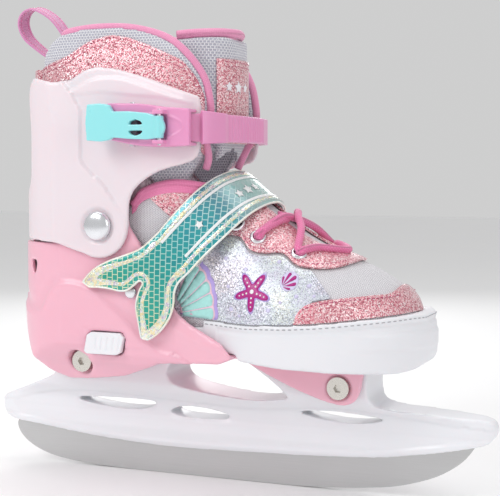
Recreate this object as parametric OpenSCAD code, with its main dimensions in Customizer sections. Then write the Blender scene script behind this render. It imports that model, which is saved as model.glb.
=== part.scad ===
// Ice skate for a child, right foot, size-adjustable. All sizes in millimetres.
// Origin: middle of the flat part of the blade's edge. Toe is +X, up is +Z, the buckle side is -Y.
// One module per sub-part. Moving groups: toe box (slides), tail flap, size button, cuff, lever, ladder strap.

/* [Blade and holder] */
// Thickness of the steel blade
blade_thickness = 3.5; // [3:0.5:5]
// Diameter of the pins that hold the blade in the holder
blade_pin_d = 4; // [3:0.5:5]
// Width of the two holder towers
tower_width = 31; // [28:1:34]
// Shank diameter of the frame bolts
bolt_d = 6; // [5:0.5:8]
// Head diameter of the frame bolts
bolt_head_d = 11.5; // [10:0.5:13]

/* [Heel shell and cuff] */
// Outer half width of the heel shell beside the ankle
shell_half_width = 40; // [38:0.5:42]
// Wall of the heel shell
shell_wall = 3; // [2.5:0.5:4]
// Wall of the cuff
cuff_wall = 3; // [2.5:0.5:4]
// Space between shell and cuff on each side
cuff_gap = 0.5; // [0.3:0.1:1]
// Diameter of the ankle pivot
pivot_d = 8; // [6:0.5:10]
// Radial clearance of the turning fits
pivot_clearance = 0.05; // [0.02:0.01:0.1]

/* [Front shoe] */
// Wall of the fabric upper
upper_wall = 1.9; // [1.5:0.1:2.5]
// Thickness of the sewn overlays
overlay = 1.1; // [0.8:0.1:1.5]
// Space between the sliding shoe and the deck
slide_gap = 0.3; // [0.3:0.1:0.6]
// Lace diameter
lace_d = 4; // [3:0.5:5]

/* [Straps] */
// Thickness of the instep strap
strap_thickness = 2; // [1.5:0.5:3]
// Thickness of the ladder strap without its ribs
ladder_thickness = 2; // [1.5:0.5:3]
// Height of the ladder strap
ladder_height = 14; // [12:1:16]

/* [Hidden] */
$fn = 48;

pink = [0.96, 0.74, 0.82];
deep_pink = [0.92, 0.45, 0.66];
glitter_pink = [0.86, 0.52, 0.58];
white = [0.94, 0.94, 0.96];
milk = [0.90, 0.87, 0.90];
mesh_grey = [0.85, 0.85, 0.88];
steel = [0.78, 0.78, 0.80];
teal = [0.10, 0.65, 0.66];
aqua = [0.62, 0.90, 0.92];
silver = [0.80, 0.80, 0.84];

ankle = [-43, 138];
rear_bolt_at = [-61, 64];
front_bolt_at = [81, 57];
rear_head_y = 25;
front_head_y = 18;
lug_width = 40;
slot_top = 69.5;
deck_top = 73.9;
deck_half = 26;
cuff_half = shell_half_width + cuff_gap + cuff_wall;
split_r = 34;
rack_half = 10;
strap_tilt = 129;
strap_ridge = [31.5, 154.5];
flap_gap = 0.3;
ladder_z = 188;

// ---------- helper functions and modules ----------

// Smooth curve through the points, n steps to a span
function spline(p, n = 4) =
  let (m = len(p) - 1)
  concat([
    for (i = [0:m - 1], k = [0:n - 1])
      let (a = p[max(i - 1, 0)], b = p[i], c = p[i + 1], d = p[min(i + 2, m)], t = k / n)
        0.5 * (2 * b + (c - a) * t + (2 * a - 5 * b + 4 * c - d) * t * t
               + (3 * b - a - 3 * c + d) * t * t * t)
  ], [p[m]]);

// The half outline and its mirror image in the first axis
function both(half) =
  concat(half, [for (i = [len(half) - 1:-1:0]) if (half[i][1] != 0) [half[i][0], -half[i][1]]]);

// The half profile (width, height) and its mirror image
function across_both(half) =
  concat(half, [for (i = [len(half) - 1:-1:0]) [-half[i][0], half[i][1]]]);

// Open line moved sideways by t, to the right of its direction
function beside(p, t) = [
  for (i = [0:len(p) - 1])
    let (a = p[max(i - 1, 0)], b = p[min(i + 1, len(p) - 1)], d = (b - a) / norm(b - a))
      p[i] + [d[1], -d[0]] * t
];

function arc(c, r, a0, a1, n = 16) = [
  for (i = [0:n]) let (a = a0 + (a1 - a0) * i / n) c + r * [cos(a), sin(a)]
];

function reversed(p) = [for (i = [len(p) - 1:-1:0]) p[i]];

// Solid whose side view is the outline, from y0 to y1
module side(outline, y0, y1) {
  translate([0, y1, 0]) rotate([90, 0, 0]) linear_extrude(y1 - y0) polygon(outline);
}

// Solid whose end view is the profile, from x0 to x1
module endwise(profile, x0, x1) {
  translate([x0, 0, 0]) rotate([90, 0, 90]) linear_extrude(x1 - x0) polygon(profile);
}

// Solid whose plan is the outline, from z0 to z1
module plan(outline, z0, z1) {
  translate([0, 0, z0]) linear_extrude(z1 - z0) polygon(outline);
}

// Cylinder along Y from y0 to y1 at the side-view point c
module along_y(c, d, y0, y1) {
  translate([c[0], y1, c[1]]) rotate([90, 0, 0]) cylinder(d = d, h = y1 - y0);
}

// Round rod from a to b
module rod(a, b, d) {
  v = b - a;
  translate(a) rotate([0, acos(v[2] / norm(v)), atan2(v[1], v[0])]) cylinder(d = d, h = norm(v));
}

// Round cord swept through the points. Its section is turned about the reference point c
module cord(points, d, c = [-45, 0, 150], n = 8) {
  m = len(points);
  ring = [
    for (i = [0:m - 1])
      let (t = points[min(i + 1, m - 1)] - points[max(i - 1, 0)], r = cross(t, points[i] - c), u = r / norm(r),
        w = cross(u, t) / norm(t))
        for (k = [0:n - 1]) points[i] + d / 2 * (u * cos(360 * k / n) + w * sin(360 * k / n))
  ];
  polyhedron(ring, concat(
    [[for (k = [n - 1:-1:0]) k]], [[for (k = [0:n - 1]) (m - 1) * n + k]],
    [for (i = [0:m - 2], k = [0:n - 1], h = [0, 1])
      let (a = i * n + k, b = i * n + (k + 1) % n) h == 0 ? [a, b, a + n] : [b, b + n, a + n]]
  ), convexity = 8);
}

// The half path and its mirror image, as one path across the middle
function through(half) = concat(half, [for (i = [len(half) - 2:-1:0]) [half[i][0], -half[i][1], half[i][2]]]);

module both_sides() {
  children();
  mirror([0, 1, 0]) children();
}

// ---------- blade and holder ----------

blade_edge = spline([
  [-118, 24.3], [-120, 20.3], [-117.5, 14.5], [-110.5, 8.8], [-99, 4.3], [-84, 1.7], [-66, 0.5], [-50, 0.05]
]);
blade_edge_front = spline([
  [50, 0.05], [68, 0.8], [88, 2.4], [108, 5.4], [127, 11.7], [140, 20], [146.5, 28]
]);
blade_back = spline([[147, 30.5], [143, 34], [120, 31], [90, 27], [0, 23.5], [-65, 25], [-112, 30]]);
blade_outline = concat(blade_edge, [[-45, 0], [45, 0]], blade_edge_front, blade_back);
blade_pin_at = [[-78, 22.8], [10, 20.3], [98, 24.5]];

module blade() {
  color(steel)
    difference() {
      side(blade_outline, -blade_thickness / 2, blade_thickness / 2);
      for (p = blade_pin_at) along_y(p, blade_pin_d, -10, 10);
    }
}

module blade_pins() {
  color(steel) for (p = blade_pin_at) along_y(p, blade_pin_d, -5, 7.5);
}

holder_lower = spline([
  [-118, 24.3], [-90, 21.2], [-65, 18.3], [-25, 16], [28, 16.8], [90, 19.7], [120, 23.9], [147, 29.3]
]);
holder_nose = spline([[147, 29.3], [154, 31.4], [158.3, 37.5], [155, 42.8], [139, 44.2], [119.7, 45.3],
  [107, 46], [98.5, 47.8], [95.3, 51.5], [94.5, 57]], 3);
arch_edge = spline([[25, slot_top], [34, 63.5], [42.5, 57.8], [49, 52.5], [51.5, 49.2]], 3);
arch_floor = spline([[51.5, 48.6], [33, 46.2], [16, 47.2], [-3, 49.8], [-13.5, 52.8], [-17.2, 58],
  [-14.5, 64], [-9, slot_top]], 3);
holder_tail = spline([[-85.5, 58], [-88, 53], [-103.5, 46.3], [-125.5, 37.6], [-129, 32.3], [-125, 27],
  [-118, 24.3]], 3);
holder_outline = concat(holder_lower, holder_nose, [[94.5, slot_top]], arch_edge, arch_floor,
  [[-85.5, slot_top]], holder_tail);
holder_section = across_both([
  [6.5, 15], [8.5, 20], [9.8, 26], [9.3, 31], [8.2, 34], [8, 40], [10, 43.5], [13, 47], [tower_width / 2, 51.5],
  [tower_width / 2, 80]
]);
holder_plan = both(spline([[-129.2, 0], [-127.5, 4], [-121, 7.8], [-108, 11], [-94, 14.5], [-84, 16],
  [99, 16], [112, 14], [132, 11], [148, 8.2], [156.5, 4.5], [158.5, 0]], 3));
holder_slots = [
  spline([[-81, 38.8], [-68, 40.6], [-40, 41.2], [-27, 40.2], [-30, 37.4], [-40, 35.4], [-58, 35.8],
    [-81, 38.8]], 3),
  spline([[-20, 35.6], [-12, 38.9], [4, 38.6], [18.7, 35], [4, 33.2], [-12, 33.6], [-20, 35.6]], 3),
  spline([[52, 41], [72, 42.8], [90, 41.8], [102.7, 39.8], [88, 37.2], [70, 37.8], [52, 41]], 3)
];

module blade_holder() {
  color(white)
    difference() {
      intersection() {
        side(holder_outline, -20, 20);
        endwise(holder_section, -140, 170);
        plan(holder_plan, 0, 90);
      }
      side(blade_outline, -blade_thickness / 2, blade_thickness / 2);
      for (s = holder_slots) side(s, -20, 20);
      for (p = blade_pin_at) along_y(p, blade_pin_d, -5, 20);
      along_y(rear_bolt_at, bolt_d, -30, 30);
      along_y(front_bolt_at, bolt_d, -30, 30);
    }
}

// ---------- heel shell ----------

shell_plan_half = concat(
  spline([[-105.5, 0], [-104.3, 10], [-100, 20.5], [-92, 30.5], [-81, 37.3], [-68, shell_half_width]]),
  [[0, shell_half_width], [12, 42], [24, 44], [34, 46.5]]
);
shell_plan = both(shell_plan_half);
shell_inner_plan = both(concat([[-102.3, 0]], [
  for (p = beside(shell_plan_half, shell_wall)) if (p[0] > -102.2) p
], [[60, 52]]));
shell_back = spline([[-102.6, 128.5], [-104.8, 119], [-105.4, 108.6], [-102.3, 92], [-93.6, 72],
  [-84, 58.7], [-71, 53.2]]);
shell_side = concat(
  shell_back, [[-55, 54.5], [-35, 57.5], [-18, 63.8], [-11, 67.2], [25, 69]],
  [[33.3, 72.4], [26.8, 79.6]], spline([[7.4, 88.8], [-1, 95.5], [-6, 107], [-12.5, 117], [-20, 128]]),
  [[-27, 138]], arc(ankle, 16, 0, 180), [[-59, 134], [-63, 129.8], [-70, 128.5]]
);
// Height and half width of the shell's rounded underside at the heel. It widens to the full plan at the arms
shell_bowl = [[50, 23], [56, 26], [61, 29], [66, 32.5], [70.5, 36], [75, 39], [80, 42], [84, 50]];
shell_cavity_back = beside(shell_back, -shell_wall);
button_hole = [[-53.5, 71.5], [-52, 69.7], [-34, 69.7], [-31, 71.2], [-28.8, 80], [-31, 82.4], [-49, 82.4],
  [-51.8, 80.5]];

// Solid between level outlines with the same number of points
module loft(rings, heights) {
  n = len(rings[0]);
  m = len(rings);
  polyhedron(
    [for (i = [0:m - 1], p = rings[i]) [p[0], p[1], heights[i]]],
    concat(
      [[for (k = [n - 1:-1:0]) k]], [[for (k = [0:n - 1]) (m - 1) * n + k]],
      [for (i = [0:m - 2], k = [0:n - 1], h = [0, 1])
        let (a = i * n + k, b = i * n + (k + 1) % n) h == 0 ? [a, b, a + n] : [b, b + n, a + n]]
    ), convexity = 8);
}

function bowl_limit(x, half) = half + (50 - half) * min(max((x + 15) / 45, 0), 1);

module shell_cavity() {
  intersection() {
    plan(shell_inner_plan, deck_top, 200);
    side(concat([for (p = shell_cavity_back) if (p[1] > deck_top) p], [[-91, deck_top], [70, deck_top],
      [70, 200], [-99, 200]]), -60, 60);
  }
}

module heel_shell() {
  color(pink)
    difference() {
      union() {
        intersection() {
          side(shell_side, -60, 60);
          union() {
            plan(shell_plan, 84, 180);
            loft([for (b = shell_bowl) [for (p = shell_plan) [p[0], sign(p[1]) * min(abs(p[1]), bowl_limit(p[0], b[1]))]]],
              [for (b = shell_bowl) b[0]]);
          }
        }
        translate([20, -deck_half, slot_top]) cube([75, 2 * deck_half, deck_top - slot_top]);
        side(concat([[26, 70], [32, 66.6]], spline([[44, 60.6], [60, 54], [75, 49.3], [84, 48.3],
          [89.5, 50.8], [92.5, 57]]), [[94.4, 70]]), -lug_width / 2, lug_width / 2);
      }
      shell_cavity();
      translate([-85.5, -tower_width / 2, 40]) cube([200, tower_width, slot_top - 40]);
      for (s = [-1, 1]) {
        translate([0, s * (rear_head_y + 15), 0]) along_y(rear_bolt_at, 14, -15, 15);
        translate([0, s * (front_head_y + 15), 0]) along_y(front_bolt_at, 13.4, -15, 15);
      }
      along_y(rear_bolt_at, bolt_d, -60, 60);
      along_y(front_bolt_at, bolt_d, -60, 60);
      side([[-90.8, 118.8], [-85, 118.4], [-87.6, 108]], -60, 60);
      side(button_hole, -60, -34);
      along_y(ankle, pivot_d, -60, 60);
      along_y([-25.5, 103.7], 3, -60, 60);
    }
}

// Button-head bolt along Y with a hex socket, head outside at head_y
module frame_bolt(at, head_y, head_h) {
  color(steel)
    difference() {
      union() {
        along_y(at, bolt_head_d, -head_y - head_h, -head_y);
        along_y(at, bolt_d, -head_y, head_y + 3);
      }
      translate([at[0], -head_y - head_h + 2, at[1]]) rotate([90, 0, 0]) cylinder(d = 4.6, h = 4, $fn = 6);
    }
}

module frame_nut(at, head_y, head_h) {
  color(steel)
    difference() {
      along_y(at, bolt_head_d, head_y, head_y + head_h + 1);
      along_y(at, bolt_d, head_y - 1, head_y + 3);
    }
}

module rear_bolt() {
  frame_bolt(rear_bolt_at, rear_head_y, 5);
}

module rear_nut() {
  frame_nut(rear_bolt_at, rear_head_y, 4);
}

module front_bolt() {
  frame_bolt(front_bolt_at, front_head_y, 3);
}

module front_nut() {
  frame_nut(front_bolt_at, front_head_y, 2.5);
}

// ---------- inner boot, lower half ----------

liner_plan_half = concat(
  spline([[-101.6, 0], [-100.4, 10], [-96, 20], [-88, 29], [-77, 34.5], [-66, 35.8], [-54, 34.5], [-44, 33]]),
  [[-22, 32.6], [-6, 30], [8, 23.5]]
);
liner_plan = both(liner_plan_half);
liner_inner_plan = both(concat([[-95.6, 0]], [for (p = beside(liner_plan_half, 5)) if (p[0] > -95.4) p],
  [[20, 14]]));
liner_side = concat(
  [[-90, 74.2], [-70, 74.2], [-68, 81.5], [6, 81.5], [8, 84], [8, 129.5], [-8.6, 133.5]],
  arc(ankle, split_r, 0, 180, 24), [[-93.6, 138], [-93.8, 128.8]], beside(shell_back, -shell_wall - 0.4)
);

module heel_liner() {
  color(mesh_grey)
    difference() {
      intersection() {
        side([for (p = liner_side) if (p[1] > 74.1) p], -60, 60);
        plan(liner_plan, 70, 180);
      }
      plan(liner_inner_plan, 83.5, 200);
    }
}

module heel_footbed() {
  color(deep_pink)
    intersection() {
      plan(liner_inner_plan, 83.5, 87.5);
      translate([-91, -40, 80]) cube([98, 80, 20]);
    }
}

module shell_rivets() {
  color(steel)
    both_sides() {
      along_y([-25.5, 103.7], 7, shell_half_width, shell_half_width + 1);
      along_y([-25.5, 103.7], 3, 36.4, shell_half_width);
    }
}

module cuff_rivets() {
  color(silver)
    both_sides() {
      along_y(ankle, 13, 35, 37);
      along_y(ankle, pivot_d, 37, cuff_half + 0.2);
      translate([ankle[0], cuff_half + 0.2, ankle[1]])
        rotate([-90, 0, 0])
          rotate_extrude()
            polygon([[0, 0], [7.8, 0], [7.8, 0.9], [7, 1.7], [5, 2.4], [2.5, 2.8], [0, 2.9]]);
    }
}

// ---------- front shoe: sole and size rack ----------

// Half width, crest height and roundness of the upper at each station along X
STATIONS = [
  [-34, 35.3, 300, 2.6], [-20, 35.3, 280, 2.6], [-8, 35.3, 240, 2.6], [2, 35.3, 206, 2.6], [10, 35.3, 184, 2.5],
  [18, 36.4, 163, 2], [25, 38, 158, 2], [35, 40.8, 149.5, 2], [45, 43.3, 141.5, 2], [55, 44.9, 134.5, 2],
  [65, 45.3, 128.8, 2.05], [75, 44.6, 124.2, 2.1], [85, 42.4, 120.4, 2.15], [93, 38.8, 117, 2.2],
  [100, 34.6, 113, 2.3], [106, 29.8, 109.5, 2.3], [111, 23.5, 106, 2.4], [115, 15.5, 101.5, 2.4],
  [117, 9, 98, 2.4], [118, 4, 95, 2.4]
];
upper_base = 86;
function station(x, k) = lookup(x, [for (s = STATIONS) [s[0], s[k]]]);
function rise(x) = station(x, 2) - upper_base;

// Point of the upper's surface: x, angle from the sole up (90 is the crest), offset outwards
function skin(x, a, o) =
  let (p = station(x, 3), c = cos(a), k = min(max((x - 92) / 26, 0), 1))
    [x + o * k,
     -sign(c) * max(station(x, 1) + o, 0.1) * pow(abs(c), 2 / p),
     upper_base + (rise(x) + o) * pow(sin(a), 2 / p)];
function angle_at(x, z) = asin(pow(min(max((z - upper_base) / rise(x), 0), 1), station(x, 3) / 2));
function height_at(x, y) =
  let (p = station(x, 3)) upper_base + rise(x) * pow(1 - pow(min(abs(y) / station(x, 1), 1), p), 1 / p);

// Closed solid between two offset layers of the surface. rows: [x, first angle, last angle]
module skin_patch(rows, n, inner, outer) {
  m = len(rows);
  function at(i, j, o) = skin(rows[i][0], rows[i][1] + (rows[i][2] - rows[i][1]) * j / n, o);
  w = n + 1;
  points = concat([for (i = [0:m - 1], j = [0:n]) at(i, j, outer)], [for (i = [0:m - 1], j = [0:n]) at(i, j, inner)]);
  b = m * w;
  faces = concat(
    [for (i = [0:m - 2], j = [0:n - 1], h = [0, 1])
      let (q = i * w + j) h == 0 ? [q, q + 1, q + w + 1] : [q, q + w + 1, q + w]],
    [for (i = [0:m - 2], j = [0:n - 1], h = [0, 1])
      let (q = b + i * w + j) h == 0 ? [q, q + w + 1, q + 1] : [q, q + w, q + w + 1]],
    [for (i = [0:m - 2], h = [0, 1]) let (q = i * w) h == 0 ? [q, q + w, b + q + w] : [q, b + q + w, b + q]],
    [for (i = [0:m - 2], h = [0, 1])
      let (q = i * w + n) h == 0 ? [q, b + q + w, q + w] : [q, b + q, b + q + w]],
    [for (j = [0:n - 1], h = [0, 1]) h == 0 ? [j, b + j, b + j + 1] : [j, b + j + 1, j + 1]],
    [for (j = [0:n - 1], h = [0, 1])
      let (q = (m - 1) * w + j) h == 0 ? [q, b + q + 1, b + q] : [q, q + 1, b + q + 1]]
  );
  polyhedron(points, faces, convexity = 8);
}

// Patch given by its lower and upper edge in the side view. rows: [x, low z, high z]
module sewn_patch(rows, n, inner, outer) {
  skin_patch([for (r = rows) [r[0], angle_at(r[0], r[1]), angle_at(r[0], r[2])]], n, inner, outer);
}

sole_plan_half = concat([[-20, 36.5], [10, 36.5]], spline([[18, 37.6], [30, 40.8], [40, 43.5], [50, 45.6],
  [60, 46.6], [70, 46.5], [80, 45.4], [90, 42.6], [100, 38], [108, 32.6], [115, 25.8], [121, 17], [124.7, 8],
  [125.8, 0]]));
sole_inner_half = concat([[-30, 33.5]], [for (p = beside(sole_plan_half, 3)) if (p[1] > 0.5) p], [[122.8, 0]]);
sole_side = concat(
  [[-20, deck_top + slide_gap], [33.6, deck_top + slide_gap], [35.5, 71], [54, 69.4], [99, 67.6]],
  spline([[113, 67.3], [120.5, 69], [125, 74.5], [126, 81], [125.4, 89], [123, 94.6], [119, 96]], 3),
  [[96, 94], [80, 92.3], [64, 91], [39, 89.8], [15, 90.7], [-20, 92]]
);
upper_plan = both(concat([[-40, 35.3]], [for (s = STATIONS) if (s[0] > 10) [s[0], s[1]]], [[118.2, 0]]));

module toe_sole() {
  color(white)
    difference() {
      intersection() {
        side(sole_side, -60, 60);
        plan(both(sole_plan_half), 60, 110);
      }
      intersection() {
        plan(both(sole_inner_half), 77.2, 120);
        translate([-40, -60, 70]) cube([152, 120, 60]);
      }
      plan(upper_plan, upper_base, 120);
      translate([20, -deck_half - 0.5, 50]) cube([81, 2 * deck_half + 1, deck_top + slide_gap - 50]);
      for (x = [-8, 8]) translate([x, 0, 70]) cylinder(d = 3, h = 12);
    }
}

module slide_rack() {
  color(steel)
    difference() {
      translate([-68, -rack_half, 77.2]) cube([86, 2 * rack_half, 2.6]);
      for (i = [0:3]) translate([-44 - 8 * i, rack_half - 2.6, 70]) cube([4.6, 5, 20]);
      for (x = [-8, 8]) translate([x, 0, 70]) cylinder(d = 3, h = 12);
    }
}

module rack_screws() {
  color(steel)
    for (x = [-8, 8])
      translate([x, 0, 0]) {
        translate([0, 0, 74.4]) cylinder(d = 3, h = 5.4);
        translate([0, 0, 79.8]) cylinder(d = 6, h = 1.4);
      }
}

module toe_footbed() {
  color(deep_pink)
    intersection() {
      plan(both(sole_inner_half), 77.2, 81.2);
      translate([19, -60, 70]) cube([91, 120, 20]);
    }
}

// ---------- front shoe: upper and trim ----------

topline = [[-34, 147], [-26, 149], [-22, 154.5], [-12, 158.5], [-2, 159.8], [8, 158.6], [13, 157.6], [18.6, 156.5]];
rim_z = [[-20, 92.2], [15, 91], [39, 90.1], [64, 91.3], [80, 92.6], [96, 94.3], [119, 96.4]];
function rim(x) = lookup(x, rim_z);

module toe_upper() {
  color(mesh_grey) {
    skin_patch([for (s = STATIONS) if (s[0] > 17) [s[0], 0, 180]], 24, -upper_wall, 0);
    both_sides() sewn_patch([for (t = topline) [t[0], upper_base, t[1] - 3.1]], 6, -upper_wall, 0);
  }
}

cap_edge = [[66.2, 92.4], [68, 97], [71, 100], [80, 102.9], [90, 104], [100, 104.8], [106, 105], [110.4, 105.1]];

module toe_cap() {
  color(glitter_pink)
    both_sides()
      sewn_patch(concat([for (c = cap_edge) [c[0], rim(c[0]), c[1]]],
        [for (x = [111.5, 114, 116, 117.5]) [x, rim(x), 130]]), 6, 0.6, overlay + 0.2);
}

panel_edge = [[3, 92, 112], [12, 91.3, 122], [23, 91, 131.8], [32, 90.6, 130.6], [38, 90.4, 124.8],
  [46, 90.4, 123.2], [54, 90.8, 123.2], [62, 91.5, 118], [65.6, 91.7, 117], [69, 99, 115.8], [76, 102.4, 110.6],
  [82, 103.8, 105]];
module side_panels() {
  color(silver) both_sides() sewn_patch(panel_edge, 6, 0.6, overlay + 0.2);
}

stay_lift = 0.7;
stay_edge = [[21.4, 133], [25, 133.2], [32, 131.9], [38, 126], [46, 124.3], [54, 124.4], [62, 119], [69, 117.4],
  [76, 117], [82, 117.4], [86, 118.4]];
eyelet_x = [28.6, 40.7, 62.7];
eyelet_z = [138, 131.5, 124.2];
module eyestay() {
  color(glitter_pink)
    both_sides()
      sewn_patch([for (e = stay_edge) [e[0], e[1], e[0] < 80 ? height_at(e[0], 9) : height_at(e[0], 0.2)]],
        4, stay_lift, overlay + stay_lift);
}

module eyelets() {
  color(silver)
    both_sides()
      for (i = [0:2]) {
        a = angle_at(eyelet_x[i], eyelet_z[i]);
        p = skin(eyelet_x[i], a, overlay + stay_lift + 1.75);
        q = skin(eyelet_x[i], a, overlay + stay_lift + 2.75);
        v = (q - p) / norm(q - p);
        difference() {
          rod(p, p + v * 0.9, 8.6);
          rod(p - v, p + v * 3, 4.6);
        }
      }
}

function lace_point(x, y, o) = let (z = height_at(x, y)) [x, y, z + o];
lace_rise = overlay + stay_lift + lace_d / 2 + 1;
module laces() {
  low = [50, 0, 60];
  color(deep_pink) {
    cord(spline(through([lace_point(65, -21, 4.8), lace_point(68, -16.5, 4.8), lace_point(71.5, -9, 4.4),
      lace_point(73.5, 0, lace_rise)]), 2), lace_d, low);
    for (s = [-1, 1])
      cord(spline([lace_point(60.4, s * 21.5, 5.6), lace_point(57, s * 14, 5.6 + s), lace_point(52.6, s * 4,
        lace_rise + 2.2 * (s + 1)), lace_point(50, s * -4, lace_rise + 2.2 * (s + 1)),
        lace_point(47.5, s * -13, 5.8 + s), lace_point(46.4, s * -20.4, 5.6)], 2), lace_d, low);
  }
}

module topline_binding() {
  edge = [for (t = topline) if (t[0] > -27 && t[0] < 12) skin(t[0], angle_at(t[0], t[1]), 0.4)];
  front = [for (a = [68, 75, 82, 90]) skin(15.6, a, -5.8)];
  color(deep_pink) cord(through(concat(edge, front)), 4, [-5, 0, 100]);
}

// ---------- instep strap ----------

strap_reach = 43;
// Inner line of the strap's section, seen along the ridge: distance down from the ridge, distance out
strap_line = spline([[-0.8, 0.01], [-0.2, 8], [2, 16.6], [6, 25], [13.8, 32.6], [23.8, 36.9], [33.6, 39.4],
  [44, 41.2], [52, 42.4], [60, strap_reach]], 3);
tail_outline = concat(
  [[20, 167], [14, 155.5], [-8.9, 134.5], [-18.6, 126], [-27.3, 122.6], [-40, 118.2], [-47, 113.8],
   [-52, 108.4]], spline([[-48.8, 106.2], [-40, 106.5], [-30.5, 104.8], [-23, 106], [-17.3, 108.8]], 3),
  spline([[-20.2, 101.6], [-18.5, 91.3], [-18, 82], [-14.6, 79.7], [-4.3, 87.4], [1.4, 98.8], [3.1, 108.5]], 3),
  [[9, 111.8], [15.4, 116.4], [27.8, 131.8], [40.4, 147.3], [40.4, 150]]
);

// Strap shell on the +Y side, thickness t from offset o
module strap_shell(o, t, reach) {
  inner = concat(beside(strap_line, -o), [[reach, strap_reach + o]]);
  outer = concat(beside(strap_line, -o - t), [[reach, strap_reach + o + t]]);
  translate([strap_ridge[0], 0, strap_ridge[1]])
    rotate([0, strap_tilt, 0])
      translate([0, 0, -90])
        linear_extrude(150)
          polygon(concat(inner, reversed(outer)));
}

module tail_flap() {
  color(teal)
    mirror([0, 1, 0])
      intersection() {
        strap_shell(0, strap_thickness, 130);
        side(tail_outline, flap_gap, 60);
      }
}

module strap_base() {
  color(teal)
    intersection() {
      strap_shell(0, strap_thickness, 60);
      side([[20, 167], [12, 150], [4, 118], [4, 96.5], [18, 96.5], [21, 110], [26.5, 125], [33.5, 138.4],
        [40.4, 147.3]], 1.6, 60);
    }
}

module hook_patch() {
  color(white)
    mirror([0, 1, 0])
      intersection() {
        strap_shell(-1.1, 1.08, 60);
        side([[8, 124], [16, 130.5], [21.3, 126], [12.2, 115.6]], 0, 60);
      }
}

module loop_patch() {
  color(mesh_grey)
    sewn_patch([[9, 117.6, 121.5], [12.5, 118.4, 125], [16.5, 121.6, 128.6], [20.4, 125.6, 127.6]], 3, overlay + 0.9, overlay + 1.7);
}

// ---------- size button ----------

module size_button() {
  color(white) {
    difference() {
      side([[-53, 71.8], [-51.6, 70.2], [-34.2, 70.2], [-31.5, 71.6], [-29.4, 79.8], [-31.4, 81.9], [-48.8, 81.9],
        [-51.3, 80.2]], -41.6, -38);
      for (i = [0:4]) translate([-47 + 3.4 * i, -43, 72.4]) rotate([0, 8, 0]) cube([1.1, 1.9, 7.6]);
    }
    translate([-43.9, -38.2, 74.3]) cube([4, 52, 1.6]);
    translate([-43.9, rack_half + 0.3, 75.8]) cube([4, 3.4, 4]);
  }
}

module button_spring() {
  color(steel)
    difference() {
      along_y([-41.9, 78.9], 5, -38, -34.5);
      along_y([-41.9, 78.9], 3.4, -39, -34);
    }
}

// ---------- cuff ----------

cuff_plan_half = concat(
  spline([[-103, 0], [-102, 10], [-98.5, 21], [-91.5, 31.5], [-82, 39], [-70, cuff_half]]),
  [[-30, cuff_half], [0, cuff_half], [8, 42.7], [16, 40.6]]
);
cuff_back = spline([[-102.8, 129.3], [-101.6, 143], [-97.8, 147.2], [-95, 155], [-90, 161], [-88.8, 172],
  [-88.8, 188], [-90.6, 202], [-90.4, 210], [-85.5, 216.5]], 3);
cuff_side = concat(
  cuff_back, spline([[-72, 213.6], [-60, 214.5], [-48, 220.2], [-34.6, 219.6], [-16.8, 214.7], [1.2, 208.4],
    [14, 203.8]], 3), [[15, 190]], spline([[14, 178.5], [10.4, 171.4], [-7.5, 166.4], [-18.4, 160.3],
    [-23.6, 154.6], [-25.4, 148], [-25.6, 138]], 3), arc(ankle, 17.2, -10, -120, 10),
  [[-58, 124.8], [-68, 128.2], [-82, 129.3]]
);
cuff_section = across_both([[43.5, 100], [43.5, 190], [42.8, 205], [41.6, 222]]);
cuff_inner_half = concat([[-100, 0]], [for (p = beside(cuff_plan_half, cuff_wall)) if (p[0] > -99.8) p], [[40, 36]]);

module cuff() {
  color(milk, 0.92)
    difference() {
      union() {
        difference() {
          intersection() {
            side(cuff_side, -60, 60);
            plan(both(cuff_plan_half), 100, 240);
            endwise(cuff_section, -110, 40);
          }
          intersection() {
            plan(both(cuff_inner_half), 90, 250);
            side(concat(beside(cuff_back, -cuff_wall), [[-80, 250], [50, 250], [50, 90], [-99.5, 90]]), -60, 60);
          }
        }
        translate([-24, -cuff_half - 6, 183]) cube([7, 6.2, 10.5]);
      }
      translate([-110, -15, 158]) cube([40, 30, 30]);
      along_y(ankle, pivot_d + 2 * pivot_clearance, -60, 60);
      translate([-20.5, -cuff_half - 3.2, 170]) cylinder(d = 3, h = 40);
      along_y([-18, ladder_z], 4, 20, 60);
    }
}

// ---------- inner boot, upper half ----------

collar_plan_half = concat(
  spline([[-99.4, 0], [-98.4, 9], [-94, 19], [-86, 28.5], [-75, 35], [-62, 39.2]]),
  [[-45, 39.8], [-5, 39.6], [8, 37], [16, 33.6]]
);
collar_back = spline([[-98.6, 138.6], [-94.5, 153], [-91.2, 170], [-89, 188], [-86.3, 203], [-83.5, 216],
  [-81.4, 228]], 3);
collar_top = spline([[-76.2, 234], [-67, 238.6], [-52, 240.8], [-36, 240.8], [-23, 239.2], [-9, 235.2], [0, 229.6],
  [7.4, 222], [12.9, 212.7], [15.3, 202], [15.6, 195], [12.5, 182], [8.6, 173], [2, 165.5], [-0.5, 158]], 3);
collar_side = concat(collar_back, collar_top, [[-1, 138.6]], arc(ankle, split_r + 0.6, 0, 180, 24));
function collar_section(o) = across_both([[33 + o, 120], [33 + o, 158], [35.5 + o, 166], [39.4 + o, 177],
  [39.8 + o, 205], [39 + o, 224], [36.5 + o, 246]]);
low_collar_half = concat(spline([[-99.4, 0], [-98.4, 9], [-94, 19], [-86, 28], [-75, 34], [-62, 35.6], [-44, 33]]),
  [[-22, 32.6], [-8, 30], [9, 22.6]]);

// Solid of the upper boot's outside, moved outwards by o
module collar_form(o) {
  intersection() {
    union() {
      plan(both(beside(collar_plan_half, -o)), 172, 250);
      plan(both(beside(low_collar_half, -o)), 120, 172.1);
    }
    endwise(collar_section(o), -110, 40);
  }
}

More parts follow.
